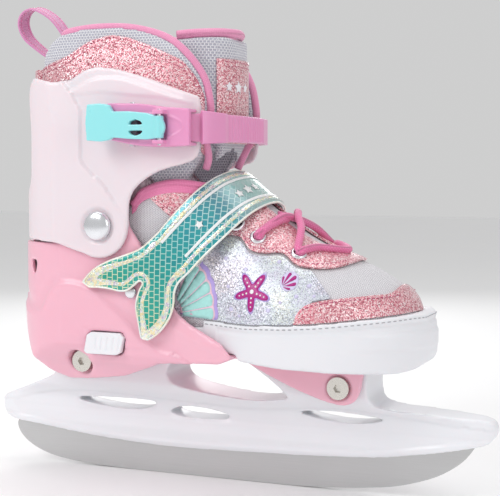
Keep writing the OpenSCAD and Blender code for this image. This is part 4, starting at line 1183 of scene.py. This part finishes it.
def make_motifs(side):
    tag = "outer" if side < 0 else "inner"
    pieces = []
    put = pieces.append
    middle = (42.6, 106.0)
    put(lay("print", starfish_outline(middle, 10.0, 1.0), on_panel(side, 0.0), mat_lavender, 1.3, 0.10))
    put(lay("print", starfish_outline(middle, 10.0), on_panel(side, 0.10), mat_star_magenta, 1.2, 0.18))
    put(lay("print", circle(middle, 1.15, 14), on_panel(side, 0.28), mat_dot, 0.7, 0.12))
    for k in range(5):
        a = math.radians(-90 + 72 * k)
        for r, size in ((3.1, 0.55), (5.2, 0.5), (7.3, 0.42)):
            at = (middle[0] + r * math.cos(a), middle[1] + r * math.sin(a))
            put(lay("print", circle(at, size, 10), on_panel(side, 0.28), mat_dot, 0.5, 0.12))
    # small scallop shell, its hinge low to the left
    shell, shell_r, lean = (61.4, 111.4), 4.1, math.radians(37)
    put(lay("print", circle(shell, shell_r + 0.5, 26), on_panel(side, 0.0), mat_pale_lavender, 1.0, 0.12))
    hinge = (shell[0] - shell_r * math.cos(lean), shell[1] - shell_r * math.sin(lean))
    for turn in (-52, -26, 0, 26, 52):
        a, reach = lean + math.radians(turn), 2 * shell_r * math.cos(math.radians(turn)) - 0.2
        ray = [(hinge[0] + 0.7 * math.cos(a), hinge[1] + 0.7 * math.sin(a))]
        for share, w in ((0.94, 0.12), (1.0, 0.0), (0.94, -0.12)):
            ray.append((hinge[0] + reach * share * math.cos(a - w),
                        hinge[1] + reach * share * math.sin(a - w)))
        put(lay("print", ray, on_panel(side, 0.12), mat_star_magenta, 0.9, 0.12))
    # large scallop fan beside the strap
    centre, reach = (-4.5, 92.5), 25.0
    sectors, a0, a1 = 6, -4.0, 74.0
    step = (a1 - a0) / sectors

    def scallop(extra):
        edge = []
        for k in range(sectors):
            for t in np.linspace(0.0, 1.0, 7)[:-1]:
                a = math.radians(a0 + step * (k + t))
                r = reach + extra + 0.8 * math.sin(math.pi * t)
                edge.append((centre[0] + r * math.cos(a), centre[1] + r * math.sin(a)))
        return edge

    def clipped(points):
        return [(x, max(1.3 * (z - 92.5) + 92.5, rim(max(x, -19)) + 0.2)) for x, z in points]

    put(lay("print", clipped([(1, 93)] + scallop(2.0) + [(0.5, 108)]), on_panel(side, 0.0), mat_lavender,
            1.6, 0.12))
    put(lay("print", clipped([(1, 93.5)] + scallop(0.0) + [(0.5, 107)]), on_panel(side, 0.12), mat_fan_pink,
            1.6, 0.10))
    for k in range(sectors):
        b0, b1 = math.radians(a0 + step * k + 0.8), math.radians(a0 + step * (k + 1) - 0.8)
        outline = [(centre[0] + 7 * math.cos(a), centre[1] + 7 * math.sin(a)) for a in (b1, b0)]
        outline += [(centre[0] + (reach - 0.9 + 0.8 * math.sin(math.pi * t)) * math.cos(lerp(b0, b1, t)),
                     centre[1] + (reach - 0.9 + 0.8 * math.sin(math.pi * t)) * math.sin(lerp(b0, b1, t)))
                    for t in np.linspace(0, 1, 7)]
        if outline[0][0] > -1.5:
            put(lay("print", clipped(outline), on_panel(side, 0.22), mat_aqua, 1.5, 0.12))
    for x, z, r in ((25.5, 121.8, 1.2), (31, 97, 1.3), (28.5, 108, 1.1), (37.5, 116.5, 1.3),
                    (52.5, 97.5, 1.3),
                    (48.5, 115, 1.0), (54, 120.4, 1.1), (66.3, 104.5, 1.2), (71.5, 109.5, 1.2),
                    (58.5, 101.5, 1.0),
                    (75, 104.8, 0.9), (36, 94, 1.0)):
        put(lay("print", circle((x, z), r, 12, 0.8), on_panel(side, 0.0), mat_pale_lavender, 0.9, 0.10))
    finish(join("sea_print_" + tag, pieces), "toe_box")


for side in (-1, 1):
    make_motifs(side)

# ---------- eyelets and laces ----------

EYELETS = [(28.6, 138.0), (40.7, 131.5), (61.9, 123.4)]


def surface_frame(x, z, offset, side):
    """Point on the upper and its outward direction."""
    p = np.array(skin_at(x, z, offset, side))
    du = np.array(skin_at(x + 1, z, offset, side)) - p
    a = angle_at(x, z)
    q = skin(x, a + 1.5, offset)
    dv = np.array((q[0], -side * q[1], q[2])) - p
    n = np.cross(du, dv)
    n /= np.linalg.norm(n)
    return p, n if n[1] * side > 0 else -n


def make_eyelets():
    ring = [(2.35, -0.6), (2.35, 0.5), (2.6, 0.95), (3.1, 1.15), (3.7, 0.95), (4.15, 0.5), (4.3, 0.0),
            (4.3, -0.3),
            (2.35, -0.6)]
    pieces = []
    for x, z in EYELETS:
        for side in (-1, 1):
            p, n = surface_frame(x, z, 2.05, side)
            pieces.append(lathe("ring", ring, p, n, mat_rivet, 28))
            # a black disc in each eyelet's hole: painted shade where the lace goes in
            pieces.append(lathe("hollow", [(0, 0.12), (2.5, 0.12), (2.5, -0.3), (0, -0.3)], p, n,
                                mat_eyelet_painted_shade, 20))
    finish(join("lace_eyelets", pieces), "toe_box", ["eyelets"])


def lace(name, points, steps=7):
    return tube(name, even(spline(points, steps), 0.9), 2.0, mat_lace, segments=14)


def on_top(x, y, lift):
    return (x, y, height_at(x, y) + lift)


def eyelet_end(index, side, depth=-0.4):
    p, n = surface_frame(*EYELETS[index], 2.05, side)
    return tuple(p + n * depth), tuple(p + n * 2.0), tuple(p + n * 3.0)


def make_laces():
    pieces = []
    for side in (-1, 1):
        bottom, mouth, rise = eyelet_end(2, side)
        far_bottom, far_mouth, far_rise = eyelet_end(1, -side)
        over = 2.6 if side < 0 else 0.0
        pieces.append(lace("lace", [bottom, mouth, (rise[0] - 1.5, rise[1] * 0.93, rise[2] + 1.0),
                                    on_top(58.6, side * 13, 5.2 + over * 0.6),
                                    on_top(54.2, side * 5, 5.0 + over),
                                    on_top(51.2, side * -3, 5.0 + over),
                                    on_top(47.6, side * -12, 5.2 + over * 0.4),
                                    (far_rise[0] + 1.5, far_rise[1] * 0.95, far_rise[2] + 1.2), far_mouth,
                                    far_bottom]))
        # second pair: from the middle eyelet up and under the instep strap
        bottom, mouth, rise = eyelet_end(1, side, 0.2)
        pieces.append(lace("lace", [(bottom[0] + 1.0, bottom[1], bottom[2]),
                                    (mouth[0] + 1.2, mouth[1] * 1.0, mouth[2]),
                                    (rise[0] + 2.6, rise[1] * 0.88, rise[2] + 2.2),
                                    on_top(47.6, side * 13, 4.0),
                                    on_top(48.4, side * 7.5, 3.0), on_top(46.8, side * 3, 2.4),
                                    on_top(44.0, side * 0.5, 0.4), on_top(41.0, side * -1, -0.8)]))
    left = eyelet_end(2, -1, 0.3)
    bar = [(left[0][0] + 0.8, left[0][1], left[0][2]), (left[1][0] + 1.6, left[1][1], left[1][2]),
           on_top(68.4, -17.5, 3.6), on_top(74.5, -10.5, 3.4), on_top(78.6, -4, 3.4), on_top(79.6, 0, 3.5)]
    mirrored = [(x, -y, z) for x, y, z in bar[-2::-1]]
    pieces.append(lace("lace", bar + mirrored))
    finish(join("shoe_laces", pieces), "toe_box", ["laces"])


make_eyelets()
make_laces()

# ---------- topline binding ----------


def make_topline_binding():
    edge = [skin_at(x, topline(x), -0.5, -1) for x in frange(-27, 13, 2.5)]
    front = [skin(18.8, a, -1.0) for a in (60, 68, 76, 84, 90)]
    half = [(x, y, z + 0.4) for x, y, z in edge] + [(x, y, z + 1.0) for x, y, z in front]
    path = half + [(x, -y, z) for x, y, z in half[-2::-1]]
    rolled = tube("topline_piping", even(spline(path, 4), 1.2), 2.2, mat_trim, segments=16, up=(0, 0, 1),
                  flat=1.1)
    bands = []
    for side in (-1, 1):
        band = grid_object("topline_band", side_patch(lambda x: topline(x) - 4.6, topline,
                                                      frange(-27, 15, 1.8), 4, 0.2,
                                                      side), mat_trim)
        face_outwards(band)
        bands.append(thicken(band, 1.0, offset=1.0, bevel=0.3))
    finish(join("topline_binding_tape", [rolled] + bands), "toe_box", ["topline_binding"])


make_topline_binding()

# ---------- instep strap with the fish tail ----------

RIDGE = np.array((31.5, 154.5))
DOWN = np.array((-0.6293, -0.7771))
ALONG = np.array((0.7771, -0.6293))
STRAP_S = [-0.8, -0.2, 2, 6, 13.8, 23.8, 33.6, 44, 52, 60, 75, 95]
STRAP_Y = [0.0, 8, 16.6, 25, 32.6, 36.9, 39.4, 41, 41.8, 42.3, 42.6, 42.8]


def strap_section():
    """Strap's cross line from the outer side over the ridge to the inner side: distance along it,
    drop, y."""
    half = spline([(s, y) for s, y in zip(STRAP_S, STRAP_Y)], 10)
    line = [(s, -y) for s, y in half[::-1]] + [(s, y) for s, y in half[1:]]
    line = np.array(line)
    # the crest is one smooth arch
    for _ in range(30):
        near = np.abs(line[:, 1]) < 14
        line[1:-1][near[1:-1]] = (0.25 * line[:-2] + 0.5 * line[1:-1] + 0.25 * line[2:])[near[1:-1]]
    run = np.r_[0, np.cumsum(np.linalg.norm(np.diff(line, axis=0), axis=1))]
    return line, run - run[np.argmin(np.abs(line[:, 1]))]


SECTION, SECTION_RUN = strap_section()


def strap_point(u, w, lift=0.0):
    """Point of the strap. u is the distance along it (outer side negative), w the place along the ridge."""
    drop = np.interp(u, SECTION_RUN, SECTION[:, 0])
    y = np.interp(u, SECTION_RUN, SECTION[:, 1])
    d2 = np.interp(u + 0.5, SECTION_RUN, SECTION[:, 0]) - np.interp(u - 0.5, SECTION_RUN, SECTION[:, 0])
    y2 = np.interp(u + 0.5, SECTION_RUN, SECTION[:, 1]) - np.interp(u - 0.5, SECTION_RUN, SECTION[:, 1])
    size = math.hypot(d2, y2)
    drop, y = drop - lift * y2 / size, y + lift * d2 / size
    x, z = RIDGE + DOWN * drop + ALONG * w
    return (x, y, z)


def to_strap(x, z):
    """(u, w) of a point of the outer side given in the side view."""
    offset = np.array((x, z)) - RIDGE
    drop, w = float(offset @ DOWN), float(offset @ ALONG)
    outer = SECTION[:, 1] < 0
    return float(np.interp(drop, SECTION[outer][::-1, 0], SECTION_RUN[outer][::-1])), w


UPPER_EDGE, LOWER_EDGE = -15.2, 9.2
FIN_UPPER = [(-8.9, 134.5), (-17.6, 126.8), (-25.5, 123.4), (-36, 119.8), (-45, 115.2), (-51.8, 108.6)]
FIN_INNER = [(-48.8, 106.0), (-42, 106.1), (-36, 105.6), (-30.5, 104.6), (-26, 105.0), (-22, 107.6),
             (-18.6, 110.2),
             (-16.6, 108.8), (-18.4, 105.4), (-20.2, 99.8), (-20.4, 95), (-19.2, 89), (-18.2, 83.6),
             (-17.4, 80.4)]
FIN_LOWER = [(-14.4, 79.6), (-9.5, 82.4), (-4.6, 87.2), (-1.2, 92.6), (0.6, 98.8), (0.9, 104.4),
             (2.9, 109.6),
             (8.6, 115.2)]


def strap_outline():
    upper = [to_strap(*p) for p in spline(FIN_UPPER, 5)]
    inner = [to_strap(*p) for p in spline(FIN_INNER, 5)]
    lower = [to_strap(*p) for p in spline(FIN_LOWER, 5)]
    far = 66.0
    start, end = upper[0], lower[-1]
    straight_up = [(lerp(far, start[0], t), lerp(UPPER_EDGE, start[1],
                                                 smooth_to(t))) for t in np.linspace(0, 1, 40)]
    straight_low = [(lerp(end[0], far, t), lerp(end[1], LOWER_EDGE,
                                                smooth_to(4 * t))) for t in np.linspace(0, 1, 40)]
    return straight_up[:-1] + upper + inner[1:] + lower[1:] + straight_low[1:]


def smooth_to(t):
    t = clamp(t)
    return t * t * (3 - 2 * t)


def strap_material():
    """The scale print with its edge tape and foil line, read from the distance to the strap's edge."""
    n = Nodes("strap_print")
    edge = n.add("Attribute", attribute_name="edge").outputs["Fac"]
    fin = n.add("Attribute", attribute_name="fin").outputs["Fac"]
    turned = n.add("Mapping", Vector=n.place(uv=True), Rotation=(0, 0, math.radians(39)))
    bricks = n.add("TexBrick", Vector=turned.outputs[0], Scale=1.0, offset=0.5, squash=1.0)
    for socket, value in (("Color1", (0, 0, 0, 1)), ("Color2", (0.6, 0.6, 0.6, 1)),
                          ("Mortar", (1, 1, 1, 1)),
                          ("Mortar Size", 0.30), ("Mortar Smooth", 0.3), ("Brick Width", 3.2),
                          ("Row Height", 3.0)):
        bricks.inputs[socket].default_value = value
    line = bricks.outputs["Fac"]
    split = n.add("SeparateXYZ", Vector=n.place())
    along = n.math("ADD", n.math("MULTIPLY", split.outputs[0], 0.63),
                   n.math("MULTIPLY", split.outputs[2], 0.777))
    cloud = n.add("TexNoise", Vector=n.place(), Scale=0.07, Detail=2.0).outputs[0]
    along = n.math("ADD", along, n.math("MULTIPLY", cloud, 12.0))
    position = n.math("DIVIDE", n.math("SUBTRACT", along, 62.0), 88.0, True)
    body = n.ramp(position, [(0.0, (0.02, 0.36, 0.25)), (0.2, (0.01, 0.34, 0.28)),
                             (0.45, (0.01, 0.29, 0.31)),
                             (0.68, (0.02, 0.30, 0.36)), (0.84, (0.10, 0.28, 0.36)),
                             (0.93, (0.34, 0.47, 0.48)),
                             (1.0, (0.50, 0.62, 0.60))])
    shine = n.ramp(position, [(0.0, (0.88, 0.86, 0.50)), (0.25, (0.62, 0.84, 0.66)),
                              (0.55, (0.42, 0.78, 0.78)),
                              (1.0, (0.74, 0.84, 0.84))])
    tint = n.mix(n.math("MULTIPLY", n.add("SeparateColor", Color=bricks.outputs["Color"]).outputs[0], 0.4),
                 body,
                 (0.02, 0.50, 0.40))
    fade = n.math("SUBTRACT", 1.0, n.math("MULTIPLY", n.math("SUBTRACT", position, 0.86), 7.0, True))
    scales = n.mix(n.math("MULTIPLY", line, n.math("MULTIPLY", fade, 0.85)), tint, shine)
    patch = n.add("TexVoronoi", Vector=n.place(), Scale=0.75)
    shade = n.add("SeparateColor", Color=patch.outputs["Color"]).outputs[0]
    crinkle = n.add("TexNoise", Vector=n.place(), Scale=1.1, Detail=4.0).outputs[0]
    gold = n.ramp(n.math("FRACT", n.math("ADD", shade, n.math("MULTIPLY", crinkle, 0.7))),
                  [(0.0, (0.80, 0.66, 0.34)), (0.2, (0.95, 0.92, 0.72)), (0.42, (0.50, 0.72, 0.60)),
                   (0.6, (0.90, 0.88, 0.90)), (0.78, (0.50, 0.42, 0.56)), (0.9, (0.98, 0.93, 0.70)),
                   (1.0, (0.86, 0.74, 0.42))])
    wobble = n.math("MULTIPLY", n.math("SUBTRACT", crinkle, 0.5), 0.5)
    at_edge = n.math("ADD", edge, wobble)
    near = n.math("MULTIPLY",
                  n.math("SUBTRACT", at_edge, n.math("SUBTRACT", 2.6, n.math("MULTIPLY", fin, 2.2))), 6.0,
                  True)
    far = n.math("MULTIPLY", n.math("SUBTRACT", 4.5, at_edge), 6.0, True)
    band = n.math("MULTIPLY", near, far)
    tone = n.mix(band, scales, gold)
    rim_mask = n.math("MULTIPLY", n.math("SUBTRACT", 0.75, edge), 8.0, True)
    tone = n.mix(rim_mask, tone, (0.80, 0.83, 0.82))
    height = n.math("ADD", n.math("MULTIPLY", n.math("SUBTRACT", 1.0, line), n.math("SUBTRACT", 1.0, band)),
                    n.math("MULTIPLY", band, n.math("ADD", crinkle, 0.4)))
    metallic = n.math("ADD", n.math("MULTIPLY", band, 0.45), 0.25)
    return n.surface(Base_Color=tone, Metallic=metallic, Roughness=0.27, Normal=n.bump(height, 0.4, 0.8),
                     Coat_Weight=0.6, Coat_Roughness=0.08)


def make_strap():
    outline = strap_outline()
    flat, faces = fill(outline, 1.25)
    edge, _ = distance_to(flat, np.array(outline + outline[:1]))
    fork = to_strap(-17, 110)
    fin = np.clip((np.hypot(flat[:, 0] - fork[0], flat[:, 1] - fork[1]) - 14) / 14, 0,
                  1) * (flat[:, 0] < fork[0] + 20)
    vertices = []
    for (u, w), e in zip(flat, edge):
        lift = 0.9 + 0.35 * math.exp(-((e - 3.4) / 1.3) ** 2) - 0.45 * math.exp(-(e / 0.7) ** 2)
        vertices.append(strap_point(u, w, lift + 0.35 * smooth_to((-u - 60) / 30)))
    strap = new_object("fish_tail_strap", vertices, faces, [tuple(p) for p in flat])
    strap.data.materials.append(strap_material())
    face_outwards(strap)
    for name, values in (("edge", edge), ("fin", fin)):
        strap.data.attributes.new(name, "FLOAT",
                                  "POINT").data.foreach_set("value", values.astype(np.float32))
    m = strap.modifiers.new("thick", "SOLIDIFY")
    m.thickness = 1.7 * MM
    m.offset = 0.0
    m.use_rim = True
    apply_modifiers(strap)
    strap.data.shade_smooth()
    return strap


# White lines: place across the strap at its ridge and at its tail, where the tail end is, and the gap to the
# stitches beside. Each runs straight on while the strap's edge flares into the tail.
STRIPES = ((-10.4, -14.0, -68.0, -3.0), (4.4, 0.6, -65.0, 3.4))


def strap_lines():
    """White sewn lines along the straight part, the backing's pale rim and the small stars."""
    pieces = []
    for at_ridge, at_tail, tail, gap in STRIPES:
        rows = [[strap_point(u, lerp(at_ridge, at_tail, clamp(u / tail)) + w, 1.78) for w in (-0.75, 0, 0.75)]
                for u in frange(tail, 52, 1.0)]
        line = grid_object("line", rows, mat_stripe)
        face_outwards(line)
        pieces.append(thicken(line, 0.45, offset=1.0, bevel=0.15))
        row = [strap_point(u, lerp(at_ridge, at_tail, clamp(u / tail)) + gap, 2.0)
               for u in frange(tail + 6, 56, 1.0)]
        pieces.append(stitches("row", row, mat_thread, pitch=1.9, length=1.2, radius=0.17))
    outline = np.array(strap_outline())
    rim_path = [strap_point(u, w, 1.0 + 0.35 * smooth_to((-u - 60) / 30)) for u, w in outline]
    pieces.append(tube("rim", even(rim_path + rim_path[:1], 1.4)[:-1], 0.6, mat_edge, segments=8,
                       closed=True))
    spot = to_strap(12.6, 138.8)
    for (u, w), size in ((spot, 2.7), ((-21.5, -3.0), 3.0), ((-14, -3.0), 3.6), ((-6.5, -3.0), 3.0)):
        flat, faces = fill(star((0, 0), size, size * 0.45, turn=70), 0.8)
        obj = new_object("star", [strap_point(u + a, w + b, 1.95) for a, b in flat], faces,
                         [tuple(p) for p in flat])
        obj.data.materials.append(mat_stripe)
        face_outwards(obj)
        pieces.append(thicken(obj, 0.22, offset=1.0))
    return join("strap_trim", pieces)


def blend_strap(obj):
    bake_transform(obj)


strap = make_strap()
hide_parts("strap_base", "tail_flap")
blend_strap(strap)
trim = strap_lines()
blend_strap(trim)


def hook_and_loop():
    """Hook patch under the strap and loop patch on the shoe."""
    patch = [to_strap(*p) for p in ((8.5, 124), (15.5, 129.5), (19.4, 126.2), (12.0, 117.4))]
    flat, faces = fill(patch, 1.6)
    hook = new_object("hook_tape", [strap_point(u, w, -0.15) for u, w in flat], faces,
                      [tuple(p) for p in flat])
    hook.data.materials.append(mat_hook)
    face_outwards(hook)
    thicken(hook, 0.9, offset=-1.0, bevel=0.2)
    finish(hook, "tail_flap", ["hook_patch"])
    low = edge_lookup([(9, 118.2), (12.5, 119.6), (16, 122.6), (19, 125.4)])
    high = edge_lookup([(9, 121), (12.5, 124.6), (16, 127.6), (19, 127)])
    sheet = grid_object("loop_tape", side_patch(low, high, frange(9, 19, 1.0), 7, 1.9, -1), mat_hook)
    face_outwards(sheet)
    finish(thicken(sheet, 0.8, offset=1.0, bevel=0.2), "toe_box", ["loop_patch"])


hook_and_loop()

# ---------- inner boot ----------


def make_liner():
    liner = sculpted("lower_liner", ["heel_liner"], mat_lining, voxel=1.3, rounds=12)
    finish(liner, "chassis", ["heel_liner"])
    for node, body, name in (("heel_footbed", "chassis", "heel_insole"),
                             ("toe_footbed", "toe_box", "toe_insole")):
        bed = sculpted(name, [node], mat_foam, voxel=1.0, rounds=10)
        finish(bed, body, [node])


def panel_top(x):
    return float(np.interp(x, [-95, -90, -82, -74, -63, -50, -37, -27, -14, 3.8, 11, 14, 16],
                           [222, 222, 222, 224, 226.5, 234.2, 237, 235.2, 230.4, 222.6, 213.5, 205, 196]))


def panel_bottom(x):
    return float(np.interp(x, [-99, -84, -70, -48, -16.8, 1.2, 12, 16],
                           [150, 150, 205, 212, 207, 200, 176, 172]))


COLLAR_PLAN = spline([(-99.4, 0), (-98.4, 9), (-94, 19), (-86, 28.5), (-75, 35), (-62, 39.2), (-45, 39.8),
                      (-25, 39.8),
                      (-5, 39.6), (8, 37), (14.5, 34.2)], 6)


def make_collar():
    collar = sculpted("padded_collar", ["collar"], mat_pad, voxel=1.15, rounds=14)

    def depth(p, normal):
        side = smoothstep(0.3, 0.8, np.hypot(normal[:, 0], normal[:, 1]))
        puff = bump(p[:, 2], 241.0, 5.0) * 0.5
        return side * puff

    carve(collar, depth)
    target = surface_of(box_uv(collar))
    finish(collar, "cuff", ["collar"])
    plan = even(COLLAR_PLAN, 2.2)
    loop = np.vstack([plan[::-1] * (1, -1), plan[1:]])
    tangent = np.gradient(loop, axis=0)
    rows = []
    for (x, y), t in zip(loop, tangent):
        outward = np.array((-t[1], t[0], 0.0))
        if outward @ np.array((x + 40, y, 0)) < 0:
            outward = -outward
        low, high = panel_bottom(x), panel_top(x)
        points = [(x, y, lerp(low, high, j / 22)) for j in range(23)]
        rows.append(drape(points, target, [outward] * 23, 0.05))
    panel = grid_object("collar_glitter", rows, mat_glitter)
    face_outwards(panel, (-0.04, 0, 0.2))
    smooth = panel.modifiers.new("smooth", "SMOOTH")
    smooth.iterations = 3
    apply_modifiers(panel)
    thicken(panel, 0.85, offset=1.0, bevel=0.3)
    finish(panel, "cuff", ["collar_panel"])
    lines = []
    for inset in (1.6, 4.2):
        points, outwards = [], []
        for (x, y), t in zip(loop, tangent):
            outward = np.array((-t[1], t[0], 0.0))
            if outward @ np.array((x + 40, y, 0)) < 0:
                outward = -outward
            points.append((x, y, panel_top(x) - inset))
            outwards.append(outward)
        path = drape(points, target, outwards, 0.98)
        lines.append(stitches("row", path, mat_pink_thread, pitch=2.2, length=1.5, radius=0.2))
    finish(join("collar_stitching", lines), "cuff")


def collar_edge_out(x, z):
    return min(float(np.interp(x, [p[0] for p in COLLAR_PLAN], [p[1] for p in COLLAR_PLAN])),
               float(np.interp(z, [158, 166, 177, 205, 224, 246], [33, 35.5, 39.4, 39.8, 39, 36.5]))) - 2.6


def make_collar_binding():
    edge = [(9.0, -21.4, 167.5), (11.4, -23.4, 174)]
    edge += [(x, -collar_edge_out(x, z), z) for x, z in
             ((13.4, 185), (16, 195), (15.8, 202), (13.4, 212.7), (8, 222.2), (0.6, 230), (-9, 235.6),
              (-23, 239.6),
              (-36, 241.2), (-52, 241.2), (-66, 239.0))]
    edge += [(-73.2, -20, 236.4), (-75.8, -8, 235.0), (-76.4, 0, 234.6)]
    path = edge + [(x, -y, z) for x, y, z in edge[-2::-1]]
    binding = tube("collar_piping", even(spline(path, 6), 1.3), 2.0, mat_binding, segments=18)
    finish(binding, "cuff", ["collar_binding"])


def make_tongue():
    tongue = sculpted("padded_tongue", ["tongue"], mat_pad, voxel=1.05, rounds=12)
    target = surface_of(box_uv(tongue))
    finish(tongue, "cuff", ["tongue"])
    rows = []
    for z in frange(181, 224.6, 1.6):
        points = [(21 - 0.0105 * y * y, y, z) for y in frange(-20.5, 20.5, 1.7)]
        rows.append(drape(points, target, [(1, y / 34, 0) for y in frange(-20.5, 20.5, 1.7)], 0.05))
    panel = grid_object("tongue_glitter", rows, mat_glitter)
    face_outwards(panel, (-0.02, 0, 0.2))
    thicken(panel, 0.9, offset=1.0, bevel=0.3)
    finish(panel, "cuff", ["tongue_panel"])
    lines = []
    for z in (223.2, 220.9):
        ys = frange(-19, 19, 1.5)
        path = drape([(21, y, z) for y in ys], target, [(1, y / 34, 0) for y in ys], 1.0)
        lines.append(stitches("row", path, mat_pink_thread, pitch=2.2, length=1.5, radius=0.2))
    finish(join("tongue_stitching", lines), "cuff")
    for k, (y, z, size) in enumerate(((-14.5, 210.2, 3.0), (-6.5, 210, 3.8), (1.5, 210.2, 3.0))):
        flat, faces = fill(star((0, 0), size, size * 0.45), 0.8)
        spots = drape([(21, y + a, z + b) for a, b in flat], target,
                      [(1, (y + a) / 34, 0) for a, b in flat], 0.98)
        obj = new_object(f"tongue_star_{k}", spots, faces, [tuple(p) for p in flat])
        obj.data.materials.append(mat_dot)
        face_outwards(obj, (-0.02, 0, 0.2))
        finish(thicken(obj, 0.3, offset=1.0), "cuff")
    half = [(-6, -24.0, 236.8), (0, -22.4, 237.4), (7.4, -18.2, 238.0), (13.4, -12.9, 238.4),
            (16.8, -6.8, 238.6),
            (18.2, 0, 238.8)]
    path = half + [(x, -y, z) for x, y, z in half[-2::-1]]
    finish(tube("tongue_piping", even(spline(path, 6), 1.2), 2.4, mat_binding, segments=16), "cuff",
           ["tongue_binding"])


LOOP = spline([(-80.6, 229.0), (-83.0, 236), (-86.4, 243.4), (-94, 252.5), (-104.5, 258.2), (-111.5, 256.6),
               (-114.2, 250.5), (-111, 242.5), (-103, 235.6), (-94, 229.8), (-83.2, 226)], 8)


def make_pull_loop():
    path = even(LOOP, 1.0)
    widths = frange(-5, 5, 0.625)
    rows = []
    for i, (x, z) in enumerate(path):
        twist = 0.18 * math.sin(math.pi * i / (len(path) - 1))
        rows.append([(x + twist * y * 0.5, y, z + twist * y) for y in widths])
    ribbon = grid_object("pull_loop_webbing", rows, mat_loop_tape)
    thicken(ribbon, 1.1, offset=0.0, bevel=0.25)
    finish(ribbon, "cuff", ["pull_loop"])
    cords = []
    for y in (-3.1, 3.1):
        line = [(x + 0.18 * math.sin(math.pi * i / (len(path) - 1)) * y * 0.5, y,
                 z + 0.18 * math.sin(math.pi * i / (len(path) - 1)) * y) for i, (x, z) in enumerate(path)]
        normal = np.gradient(path, axis=0)
        for sign in (-1, 1):
            shifted = [(p[0] - sign * 0.62 * t[1] / np.hypot(*t), p[1],
                        p[2] + sign * 0.62 * t[0] / np.hypot(*t))
                       for p, t in zip(line, normal)]
            cords.append(stitches("row", shifted, mat_trim, pitch=1.8, length=1.3, radius=0.22))
    finish(join("pull_loop_stitching", cords), "cuff")


make_liner()
make_collar()
make_collar_binding()
make_tongue()
make_pull_loop()

# ---------- buckle ----------


def make_buckle():
    base = sculpted("buckle_housing", ["buckle_base"], mat_buckle, voxel=0.5, rounds=6)
    ring = spline([(-13, 194.6), (-4, 194.4), (4, 193.2), (9.4, 190.6), (10.8, 188.3), (9.4, 186),
                   (4, 183.4),
                   (-4, 182.2), (-13, 182)], 6)

    def depth(p, normal):
        face = smoothstep(0.6, 0.95, -normal[:, 1]) * (p[:, 1] < -51)
        far, _ = distance_to(p[:, [0, 2]], ring)
        return face * 0.45 * bump(far, 0, 0.6)

    carve(base, depth)
    finish(base, "cuff", ["buckle_base"])
    lever = sculpted("buckle_lever_arm", ["buckle_lever"], mat_lever, voxel=0.42, rounds=5)
    finish(lever, "buckle_lever", ["buckle_lever"])
    ladder = sculpted("ratchet_ladder", ["ladder_strap"], mat_buckle, voxel=0.42, rounds=3)
    finish(ladder, "ladder_strap", ["ladder_strap"])
    tab = sculpted("ladder_tab", ["strap_tab"], mat_buckle, voxel=0.45, rounds=4)
    finish(tab, "cuff", ["strap_tab"])
    dress("buckle_pin", mat_rivet, 0.3)
    dress("lever_pin", mat_rivet, 0.2)


make_buckle()

# ---------- end ----------

bpy.context.view_layer.update()
